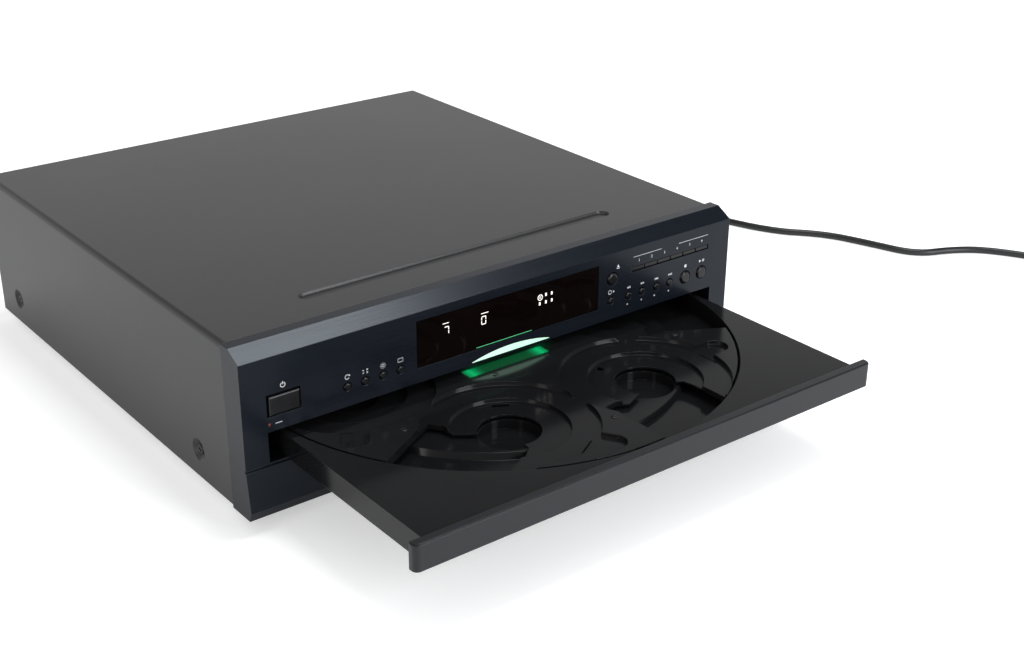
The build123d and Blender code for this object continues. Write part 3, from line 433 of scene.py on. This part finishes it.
# %% Put the finishes on the solids
for part in frame["record"]["subparts"]:
    node = nodes[part["node"]]
    finish = plug_finish if part["node"] == "mains_plug" else finishes[part["material_slot"]]
    node.data.materials.clear()
    node.data.materials.append(finish.material)

# %% [markdown]
# New pieces are surfaces: a grid of points, with a face between each four neighbours.


# %% Mesh helpers
def shown(name, mesh, body, finish):
    """Links a mesh as a piece that rides on a body."""
    mesh.materials.clear()
    mesh.materials.append(finish.material)
    piece = bpy.data.objects.new(name, mesh)
    scene.collection.objects.link(piece)
    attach(piece, body)
    return piece


def surface(name, points, wrap=False):
    """Quads over a grid of points: each joins four neighbours. wrap joins the last column to
    the first."""
    rows, columns = points.shape[:2]
    index = np.arange(rows * columns).reshape(rows, columns)
    left = index if wrap else index[:, :-1]
    onward = np.roll(index, -1, axis=1) if wrap else index[:, 1:]
    quads = np.stack([left[:-1], onward[:-1], onward[1:], left[1:]], axis=-1).reshape(-1, 4)
    mesh = bpy.data.meshes.new(name)
    mesh.from_pydata(points.reshape(-1, 3).tolist(), [], quads.tolist())
    return mend(mesh)


def mend(mesh, merge=1e-7):
    """Merges doubled points and turns the faces outwards."""
    work = bmesh.new()
    work.from_mesh(mesh)
    bmesh.ops.remove_doubles(work, verts=work.verts, dist=merge)
    bmesh.ops.recalc_face_normals(work, faces=work.faces)
    work.to_mesh(mesh)
    work.free()
    mesh.update()
    return mesh


def smooth(mesh, angle=35.0):
    """Shades a mesh smooth, but leaves edges sharper than an angle in degrees."""
    mesh.shade_smooth()
    mesh.set_sharp_from_angle(angle=math.radians(angle))
    return mesh


def joined(name, meshes):
    """One mesh out of several."""
    work = bmesh.new()
    for mesh in meshes:
        work.from_mesh(mesh)
    whole = bpy.data.meshes.new(name)
    work.to_mesh(whole)
    work.free()
    return whole


# %% [markdown]
# The mains lead is one smooth line: out of its bushing, down to the table, round to the front
# and into a coil that is out of view. The line could follow curve handles, but a NURBS spline
# needs only the route's points as its control points. The points here are the stretch before
# the coil, in millimetres.

# %% Mains lead
CORD = 6.5
LEAD = (
    (180, 462.8, 32),
    (180, 488, 32),
    (186, 517, 20),
    (206, 545, 6),
    (242, 560, 3.25),
    (290, 549, 3.25),
    (338, 512, 3.25),
    (370, 456, 3.25),
    (391, 392, 3.25),
    (411, 326, 3.25),
    (436, 256, 3.25),
    (461, 173, 3.25),
    (498, 135.7, 3.25),
    (514, 90, 3.25),
    (527.4, 46.5, 3.25),
    (562.8, 33.5, 3.25),
    (590, 13.5, 3.25),
    (617, -36, 3.25),
    (627.6, -78, 3.25),
    (628, -108, 3.25),
)
print("points before the coil", len(LEAD))

# %% [markdown]
# The coil is wound from half circles. Each has its centre moved a little, so that a turn lies
# beside the last one: two turns inward on the table, then one cord up, and two outward on top.

# %% Coil
COIL_START, COIL_RADIUS, COIL_STEP, HALF_TURNS = (628.0, -130.0), 42.85, 7.1, 8
POINTS_PER_HALF = 8


def coil_points():
    """A half circle is centre + radius * (cos, sin) of an even turn, and the radius changes by
    half a step each time. Control points lie slightly outside the circle that the spline then
    follows, by 1 / (3/4 + 1/4 of the cosine of one point's turn)."""
    (x, y), z, radius, side = COIL_START, CORD / 2, COIL_RADIUS, -1
    outside = 1 / (0.75 + 0.25 * math.cos(math.pi / POINTS_PER_HALF))
    points = []
    for half_turn in range(HALF_TURNS + 1):
        last = half_turn == HALF_TURNS
        rise = COIL_STEP if half_turn == HALF_TURNS // 2 else 0.0
        count = POINTS_PER_HALF // 2 if last else POINTS_PER_HALF
        turn = (np.arange(count) + 0.5) / POINTS_PER_HALF * math.pi
        centre = x + side * radius
        across = centre - side * radius * outside * np.cos(turn)
        along = y + side * radius * outside * np.sin(turn)
        height = z + rise * turn / math.pi
        points += zip(across, along, height)
        if last:
            return points, (centre, y - radius, z)
        x, z, side = x + side * 2 * radius, z + rise, -side
        radius += COIL_STEP / 2 if half_turn >= HALF_TURNS // 2 else -COIL_STEP / 2


turns, (end_x, end_y, end_z) = coil_points()
print("points in the coil", len(turns))

# %% [markdown]
# The tail leaves the coil straight and ends inside the plug. The whole route becomes one round
# cord, which stands in for the two solids that hold its room in the frame.

# %% Cord
TAIL_BEGIN, TAIL_END = 3.0, 41.35

tail = [(end_x - along, end_y, end_z) for along in (TAIL_BEGIN, TAIL_END)]
route = [at(*point) for point in [*LEAD, *turns, *tail]]
line = bpy.data.curves.new("mains_lead", "CURVE")
line.dimensions = "3D"
line.bevel_depth = CORD / 2 * MM
line.bevel_resolution = 5
line.resolution_u = 6
line.use_fill_caps = True
spline = line.splines.new("NURBS")
spline.points.add(len(route) - 1)
for point, place in zip(spline.points, route):
    point.co = (*place, 1.0)
spline.order_u = 3
spline.use_endpoint_u = True
lead = bpy.data.objects.new("mains_lead", line)
scene.collection.objects.link(lead)
line.materials.append(sheath.material)
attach(lead, "root")
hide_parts("mains_cord", "mains_cord_coil")
print("route", len(route), "control points")

# %% [markdown]
# A flat tie goes round the coil's turns, where they lie side by side. Its outline is a circle
# that is pushed out towards a box, and it is swept along Y, out on one side and back inside.

# %% Tie round the coil
TIE_CENTRE, TIE_FROM, TIE_TO = (549.4, 7.05), -132.5, -127.5
TIE_OUTSIDE, TIE_INSIDE, SQUARENESS = (11.9, 7.0), (11.2, 6.5), 0.45
around = np.linspace(0, 2 * np.pi, 72, endpoint=False)


def squared(wave):
    """A sine or cosine raised to a small power with its sign kept, which stays near 1 longer."""
    return np.sign(wave) * np.abs(wave) ** SQUARENESS


def tie_loop(half_size, y):
    """One loop at a depth y: centre + half size * (squared cosine, squared sine)."""
    x = TIE_CENTRE[0] + half_size[0] * squared(np.cos(around))
    z = TIE_CENTRE[1] + half_size[1] * squared(np.sin(around))
    return np.stack([x, np.full_like(x, y - MIDDLE), z], axis=1) * MM


section = (
    (TIE_OUTSIDE, TIE_FROM),
    (TIE_OUTSIDE, TIE_TO),
    (TIE_INSIDE, TIE_TO),
    (TIE_INSIDE, TIE_FROM),
    (TIE_OUTSIDE, TIE_FROM),
)
tie_rows = np.stack([tie_loop(half_size, y) for half_size, y in section])
tie_mesh = smooth(surface("cord_tie", tie_rows, wrap=True))
tie = shown("cord_tie", tie_mesh, "root", rubber)
at(*LEAD[0])
print("tie", len(tie_mesh.vertices), "points")

# %% [markdown]
# Printing on the front is generic: plain numbers over the six disc buttons, and drawn signs in
# place of words. A sign could be an image, but an outline keeps its edge at any distance. These
# helpers make the outlines, in millimetres across and up.


# %% Outlines of signs
def stroke(points, width):
    """The outline of a line of one width: its left side out, its right side back."""
    line = np.array(points, float)
    run = np.gradient(line, axis=0)
    run /= np.linalg.norm(run, axis=1)[:, None]
    sideways = np.stack([-run[:, 1], run[:, 0]], axis=1) * width / 2
    return np.concatenate([line + sideways, (line - sideways)[::-1]])


def arc(x, z, radius, start, end, width):
    """A stroke along centre + radius * (cos, sin) of angles from start to end, in degrees."""
    turn = np.radians(np.linspace(start, end, 22))
    return stroke(np.stack([x + radius * np.cos(turn), z + radius * np.sin(turn)], axis=1), width)


def bar(x, z, width, height):
    """The four corners of an upright bar about its middle."""
    w, h = width / 2, height / 2
    return np.array([(x - w, z - h), (x + w, z - h), (x + w, z + h), (x - w, z + h)])


def arrow(x, z, size, way):
    """A filled triangle that points along way, in degrees."""
    turn = np.radians(way + np.array((0, 125, 235)))
    return np.stack([x + size * np.cos(turn), z + size * np.sin(turn)], axis=1)


# %% [markdown]
# Outlines and figures are filled as flat curves a few hundredths of a millimetre thick, turned
# into a mesh, and stood up against the panel. A stand is the matrix that does this.


# %% Flat prints
def as_mesh(curve):
    """A curve or text as a mesh, in its own units."""
    holder = bpy.data.objects.new("holder", curve)
    scene.collection.objects.link(holder)
    bpy.context.view_layer.update()
    mesh = bpy.data.meshes.new_from_object(holder)
    bpy.data.objects.remove(holder)
    return mesh


def flat_print(name, outlines, texts, stand, body, finish, thick=0.05):
    """Outlines and figures as one thin piece. stand places (across, up, out) in the frame."""
    curve = bpy.data.curves.new(name, "CURVE")
    curve.dimensions = "2D"
    curve.fill_mode = "BOTH"
    curve.extrude = thick / 2
    for outline in outlines:
        path = curve.splines.new("POLY")
        path.points.add(len(outline) - 1)
        for point, (u, v) in zip(path.points, outline):
            point.co = (u, v, 0, 1)
        path.use_cyclic_u = True
    made = [as_mesh(curve)]
    for body_text, u, v, size in texts:
        text = bpy.data.curves.new(name, "FONT")
        text.body, text.size, text.extrude = body_text, size, thick / 2
        text.align_x, text.align_y = "CENTER", "CENTER"
        figure = as_mesh(text)
        figure.transform(Matrix.Translation((u, v, 0)))
        made.append(figure)
    whole = joined(name, made)
    whole.transform(stand)
    return shown(name, mend(whole), body, finish)


def upright(y):
    """Stands a drawing up at a distance behind the panel's face: out of it means towards -Y."""
    turn = Matrix(((1, 0, 0, 0), (0, 0, -1, 0), (0, 1, 0, 0), (0, 0, 0, 1)))
    return Matrix.Translation(at(0, y, 0)) @ Matrix.Scale(MM, 4) @ turn


# %% [markdown]
# The ink is a matt white. Over the disc buttons stand the numbers 1 to 6 and two thin lines.

# %% Ink and numbers
ink = Finish("white_printing")
speck = ink.grain(2500.0, 1.0)
ink.set(
    Base_Color=ink.between(speck, (0.62, 0.63, 0.64), (0.78, 0.79, 0.80)),
    Roughness=0.5 + 0.1 * speck,
)
DISC_BUTTONS = (122.2, 135.0, 148.2, 161.4, 174.8, 187.8)
NUMBER_ROW, NUMBER_SIZE, LINE_ROW, THIN_LINE = 112.0, 3.0, 115.7, 0.3
numbers = [(str(place), x, NUMBER_ROW, NUMBER_SIZE) for place, x in enumerate(DISC_BUTTONS, 1)]
signs = [bar(130.5, LINE_ROW, 29.0, THIN_LINE), bar(178.5, LINE_ROW, 31.0, THIN_LINE)]
print("numbers", [figure for figure, *_ in numbers])

# %% [markdown]
# Four signs stand over the small round buttons at the left: a loop arrow, crossed arrows, a
# sun and a small screen.

# %% Signs at the left
STROKE = 0.45
LEFT_ROW = 92.3

signs += [arc(-138.2, LEFT_ROW, 1.6, 40, 330, STROKE), arrow(-136.4, LEFT_ROW + 0.9, 0.9, 90)]
for slope in (-1, 1):
    start = (-126.2, LEFT_ROW - slope * 1.2)
    signs.append(stroke([start, (-124.9, start[1] + slope * 0.5)], STROKE))
signs += [arrow(-122.3, LEFT_ROW - 1.1, 0.9, 0), arrow(-122.3, LEFT_ROW + 1.1, 0.9, 0)]
signs.append(arc(-109.8, LEFT_ROW, 0.9, 0, 350, 0.4))
for turn in np.arange(8) * math.pi / 4:
    signs.append(bar(-109.8 + 2.0 * math.cos(turn), LEFT_ROW + 2.0 * math.sin(turn), 0.5, 0.5))
screen = [(-97.6, 91.0), (-93.6, 91.0), (-93.6, 93.6), (-97.6, 93.6), (-97.6, 91.3)]
signs.append(stroke(screen, 0.35))
print("signs so far", len(signs))

# %% [markdown]
# The power button has an open circle with a bar, and the standby lamp a short line. Open and
# close is a triangle over a bar, and the next disc is a ring with an arrow.

# %% Signs of power and disc
signs += [arc(-186.5, 101.6, 1.7, 115, 425, STROKE), bar(-186.5, 103.0, STROKE, 2.2)]
signs.append(bar(-191.0, 75.6, 5.0, 0.4))
signs += [arrow(101.0, 112.3, 1.5, 90), bar(101.0, 110.6, 2.9, 0.6)]
signs += [arc(93.6, 92.8, 1.5, 0, 350, 0.4), arrow(97.2, 92.8, 1.1, 0)]
print("signs so far", len(signs))

# %% [markdown]
# Over the row of small buttons stand two double arrows and two arrows with a bar, and under it
# one small arrow each. The two big buttons have a square, and an arrow with two bars.

# %% Signs at the right
RIGHT_ROW, UNDER_ROW, BIG_ROW = 92.0, 78.5, 95.2

for x, way in ((112.6, 180), (126.4, 0)):
    signs += [arrow(x + shift, RIGHT_ROW, 1.05, way) for shift in (-0.9, 0.9)]
for x, way, side in ((141.3, 180, -1), (155.0, 0, 1)):
    signs += [arrow(x + side * shift, RIGHT_ROW, 1.05, way) for shift in (-0.8, 0.7)]
    signs.append(bar(x + side * 1.9, RIGHT_ROW, STROKE, 1.9))
for x, way in ((111.6, 90), (126.0, 270), (139.4, 180), (154.4, 0)):
    signs.append(arrow(x, UNDER_ROW, 0.9, way))
signs += [bar(171.4, 94.9, 2.2, 2.2), arrow(187.0, BIG_ROW, 1.4, 0)]
signs += [bar(x, BIG_ROW, 0.5, 2.3) for x in (190.0, 191.2)]
flat_print("front_printing", signs, numbers, upright(-0.02), "root", ink)
print("signs", len(signs))

# %% [markdown]
# The display shows a few figures and marks, lit behind the smoked window. A figure of seven
# short bars is how such a tube draws it. They lie just behind the window's face, and a thin
# green line under them is light from the arch caught by the window's lower edge.

# %% Lit signs in the display
lit = Finish("lit_display_sign")
flicker = lit.grain(900.0, 1.0)
lit.set(
    Base_Color=(0.8, 0.8, 0.75),
    Roughness=0.5,
    Emission_Color=lit.between(flicker, (0.95, 0.86, 0.76), (1.0, 0.95, 0.9)),
    Emission_Strength=0.7,
)
SEGMENTS = {"7": "abc", "0": "abcdef"}
SEGMENT_THICK = 0.65


def seven_segments(figure, x, z, width, height):
    """A figure of up to seven short bars, whose middles lie half a width and half a height from
    the figure's middle."""
    w, h, thick = width / 2, height / 2, SEGMENT_THICK
    bars = {
        "a": (x, z + h, width, thick),
        "b": (x + w, z + h / 2, thick, h - thick),
        "c": (x + w, z - h / 2, thick, h - thick),
        "d": (x, z - h, width, thick),
        "e": (x - w, z - h / 2, thick, h - thick),
        "f": (x - w, z + h / 2, thick, h - thick),
    }
    return [bar(*bars[letter]) for letter in SEGMENTS[figure]]


# %% [markdown]
# There are two figures with a line over each, a small disc, and five marks beside it.

# %% Signs and light edge in the window
BEHIND_FACE = 0.28
MARKS = ((31.8, 107.4), (37.2, 107.1), (26.1, 101.4), (31.8, 101.5), (37.3, 101.6))

lit_signs = [bar(-57.2, 109.0, 5.2, 0.55), bar(-23.6, 107.8, 6.4, 0.55)]
lit_signs += seven_segments("7", -56.5, 103.4, 3.4, 5.6)
lit_signs += seven_segments("0", -24.5, 102.4, 3.6, 5.8)
lit_signs += [arc(26.5, 106.2, 2.1, 0, 350, 0.6), arc(26.5, 106.2, 0.7, 0, 350, 0.4)]
lit_signs += [bar(x, z, 1.5, 2.4) for x, z in MARKS]
window_stand = upright(BEHIND_FACE)
flat_print("display_signs", lit_signs, [], window_stand, "root", lit)

green_line = Finish("green_light_edge")
green_line.set(
    Base_Color=(0.1, 0.4, 0.2),
    Roughness=0.4,
    Emission_Color=(0.10, 0.9, 0.35),
    Emission_Strength=0.8,
)
edge = bar(-6.0, 82.5, 50.0, 0.25)
flat_print("display_light_edge", [edge], [], window_stand, "root", green_line)
print("lit signs", len(lit_signs))

# %% [markdown]
# The standby lamp is a small red dome in its hole, dark while the machine is on. Circles that
# shrink towards the front make it: radius by the cosine of the rise, height by its sine.

# %% Standby lamp
LAMP_PLACE, LAMP_RADIUS, LAMP_RISE = (-197.7, 0.38, 75.6), 1.28, 0.55

lamp_red = Finish("standby_lamp_off")
cloudy = lamp_red.grain(800.0, 1.0)
lamp_red.set(
    Base_Color=lamp_red.between(cloudy, (0.05, 0.006, 0.006), (0.09, 0.012, 0.010)), Roughness=0.2
)
rise = np.linspace(0, math.pi / 2, 12)[:, None]
ring = np.linspace(0, 2 * np.pi, 36, endpoint=False)[None, :]
lamp_x = LAMP_PLACE[0] + LAMP_RADIUS * np.cos(rise) * np.cos(ring)
lamp_y = LAMP_PLACE[1] - MIDDLE - LAMP_RISE * np.sin(rise) + 0 * ring
lamp_z = LAMP_PLACE[2] + LAMP_RADIUS * np.cos(rise) * np.sin(ring)
dome = np.stack([lamp_x, lamp_y, lamp_z], axis=-1)
dome_mesh = smooth(surface("standby_lamp", dome * MM, wrap=True))
shown("standby_lamp", dome_mesh, "root", lamp_red)
print("standby lamp", len(dome_mesh.vertices), "points")

# %% [markdown]
# The arch's lamps also shine down through the ceiling of the tray's slot. They sit near both
# ends of the arch, so the strip there is brightest 31 mm from its middle on both sides.

# %% Light in the slot's ceiling
GLOW_FROM_MIDDLE, GLOW_FADE = 0.031, 90.0
CEILING, STRIP = 70.25, (0.0, 6.5, 72.0, 11.0)

spill = Finish("slot_light")
across = spill.node("SeparateXYZ", inputs={0: spill.place()}, output=0)
near_lamp = (1.0 - abs(abs(across) - GLOW_FROM_MIDDLE) * GLOW_FADE).at_least(0.0)
spill.set(
    Base_Color=(0.02, 0.05, 0.03),
    Roughness=0.4,
    Emission_Color=spill.between(near_lamp * near_lamp, (0.0, 0.13, 0.035), (0.0, 1.0, 0.30)),
    Emission_Strength=7.0,
)
ceiling_stand = Matrix.Translation(at(0, 0, CEILING)) @ Matrix.Scale(MM, 4)
flat_print("slot_light", [bar(*STRIP)], [], ceiling_stand, "root", spill)
print("slot light", STRIP[2], "mm wide at height", CEILING)

# %% [markdown]
# Six small screws hold the carousel's land to its ribs. Each is a turned head with a cross
# pressed in: the height over a round grid of points is a dome, and drops where either arm of
# the cross passes.

# %% Carousel screws
CAROUSEL_Y, LAND_TOP = 28.5, 65.3
SCREW_CIRCLE, SCREW_RADIUS, SCREW_RISE = 141.0, 2.3, 0.75
CROSS_ARM, CROSS_REACH, CROSS_DEPTH, CROSS_SLOPE = 0.17, 0.62, 0.6, 14


def screw_head(x, y, z, radius, turn):
    """A round grid, out = 0 to 1 by one turn. Its height is a low dome, the square root of
    1 - 0.92 * out squared, less a cross where the nearer axis is closer than an arm's width."""
    out = np.linspace(0.0, 1.0, 22)[:, None]
    round_ = np.linspace(0, 2 * np.pi, 64, endpoint=False)[None, :]
    u, v = out * np.cos(round_ + turn), out * np.sin(round_ + turn)
    dome = SCREW_RISE * np.sqrt(1.0 - 0.92 * out**2) + 0.0 * round_
    arm = np.minimum(np.abs(out * np.cos(round_)), np.abs(out * np.sin(round_)))
    in_arm = np.clip((CROSS_ARM - arm) * CROSS_SLOPE, 0, 1)
    in_reach = np.clip((CROSS_REACH - out) * CROSS_SLOPE, 0, 1)
    height = z + dome - CROSS_DEPTH * in_arm * in_reach
    points = np.stack([x + radius * u, y - MIDDLE + radius * v, height], axis=-1)
    skirt = points[-1:] * (1, 1, 0) + (0, 0, z - 0.3)
    return np.concatenate([points, skirt]) * MM


heads = []
for place in range(6):
    turn = math.radians(30 + 60 * place)
    x, y = SCREW_CIRCLE * math.cos(turn), CAROUSEL_Y + SCREW_CIRCLE * math.sin(turn)
    head = screw_head(x, y, LAND_TOP, SCREW_RADIUS, 0.4 + place)
    heads.append(smooth(surface("screw", head, wrap=True)))
all_heads = joined("carousel_screws", heads)
shown("carousel_screws", all_heads, "carousel", screw_finish)
print("carousel screws", len(heads))

# %% [markdown]
# A number is moulded beside each disc place, as a thin raised outline that a viewer in front
# reads when the place comes round. A text curve without a filling, but with a bevel, draws
# such an outline.

# %% Place numbers
DIGIT_CIRCLE, DIGIT_SIZE, DIGIT_LINE = 48.0, 11.0, 0.22

digits = []
for place in range(6):
    text = bpy.data.curves.new("place_number", "FONT")
    text.body, text.size = str(place + 1), DIGIT_SIZE
    text.align_x, text.align_y = "CENTER", "CENTER"
    text.fill_mode, text.bevel_depth, text.bevel_resolution = "NONE", DIGIT_LINE, 1
    digit = as_mesh(text)
    angle = math.radians(60 * place)
    x, y = DIGIT_CIRCLE * math.cos(angle), CAROUSEL_Y + DIGIT_CIRCLE * math.sin(angle)
    facing = Matrix.Rotation(angle + math.pi / 2, 4, "Z")
    digit.transform(Matrix.Translation(at(x, y, LAND_TOP + 0.02)) @ facing @ Matrix.Scale(MM, 4))
    digits.append(smooth(digit))
all_digits = joined("place_numbers", digits)
shown("place_numbers", all_digits, "carousel", tray_finish)
print("place numbers", len(digits))

# %% [markdown]
# The studio's floor is white paper that runs on behind the object, with a soft shadow on it. It
# gives a little light of its own, so that it stays pure white in the picture, and less of that
# in mirrors, so that the dark sides don't turn grey. Matt surfaces get none of it.

# %% Paper floor
FLOOR_REACH = 12.0
OWN_LIGHT, OWN_LIGHT_IN_MIRRORS = 0.46, 0.20

low, high = -FLOOR_REACH, FLOOR_REACH
floor_mesh = bpy.data.meshes.new("floor")
corners = [(low, low, 0), (high, low, 0), (high, high, 0), (low, high, 0)]
floor_mesh.from_pydata(corners, [], [(0, 1, 2, 3)])
floor = bpy.data.objects.new("floor", floor_mesh)
scene.collection.objects.link(floor)
paper = Finish("white_paper_floor")
by_camera, in_gloss, through_glass = [paper.node("LightPath", output=ray) for ray in (0, 3, 6)]
direct = (by_camera + through_glass).at_most(1.0)
paper.set(
    Base_Color=(0.80, 0.80, 0.80),
    Roughness=0.9,
    Specular_IOR_Level=0.0,
    Emission_Color=(1.0, 1.0, 1.0),
    Emission_Strength=direct * OWN_LIGHT + in_gloss * (1.0 - direct) * OWN_LIGHT_IN_MIRRORS,
)
floor_mesh.materials.append(paper.material)
print("floor", 2 * FLOOR_REACH, "m wide")

# %% [markdown]
# Round the floor there is a pale wall, and darkness above it. In a satin black surface that
# darkness is what makes black look black, and the wall gives the top cover its grey fall-off.
# The camera itself sees plain white, and the matt light on the pieces is even.

# %% Wall and darkness
WALL_TOP, WALL_FADE = 0.60, 3.0
WALL_LIGHT, DARK_LIGHT, MATT_LIGHT = 0.92, 0.06, 0.62

world = bpy.data.worlds.new("studio")
scene.world = world
world.use_nodes = True
sky = world.node_tree
background = sky.nodes["Background"]
paths = sky.nodes.new("ShaderNodeLightPath")
by_camera, in_gloss, through_glass = [
    Wire(sky, paths.outputs[f"Is {ray} Ray"]) for ray in ("Camera", "Glossy", "Transmission")
]
mirrored = (in_gloss + through_glass) > 0.5
direction = sky.nodes.new("ShaderNodeTexCoord")
split = sky.nodes.new("ShaderNodeSeparateXYZ")
sky.links.new(direction.outputs["Generated"], split.inputs[0])
height = Wire(sky, split.outputs[2])
wall = ((WALL_TOP - height) * WALL_FADE).at_least(0.0).at_most(1.0)
in_mirror = wall * WALL_LIGHT + DARK_LIGHT
matt = (1.0 - by_camera) * (1.0 - mirrored)
background.inputs["Color"].default_value = (1.0, 1.0, 1.0, 1.0)
plug_in(sky, background.inputs["Strength"], by_camera + mirrored * in_mirror + matt * MATT_LIGHT)
print("wall fades out at a slope of", WALL_TOP)

# %% [markdown]
# Two tall soft boxes stand on the floor, one in front and one at the left, and draw the two
# bright bands on every curved wall of the tray. A third hangs high above the right side: the
# bevel mirrors it at its left end and looks past it at its right end.

# %% Soft boxes
AIM = (0.0, -0.1)
SOFT_BOXES = (
    ("front_box", (0.52, -1.72, 0.72), (0.6, 1.44), 0.72, (0.94, 0.965, 1.0), 25.0),
    ("left_box", (-1.74, -0.56, 0.72), (0.35, 1.44), 0.72, (1.0, 0.985, 0.96), 5.0),
    ("top_box", (0.42, -0.10, 1.85), (0.5, 0.9), 0.15, (0.96, 0.98, 1.0), 18.0),
)
for name, place, size, aim_height, colour, energy in SOFT_BOXES:
    lamp = bpy.data.objects.new(name, bpy.data.lights.new(name, "AREA"))
    lamp.data.shape = "RECTANGLE"
    lamp.data.size, lamp.data.size_y = size
    lamp.data.color, lamp.data.energy = colour, energy
    lamp.location = place
    towards = Vector((*AIM, aim_height)) - lamp.location
    lamp.rotation_euler = towards.to_track_quat("-Z", "Y").to_euler()
    lamp.visible_camera = False
    scene.collection.objects.link(lamp)
print("soft boxes", [name for name, *_ in SOFT_BOXES])
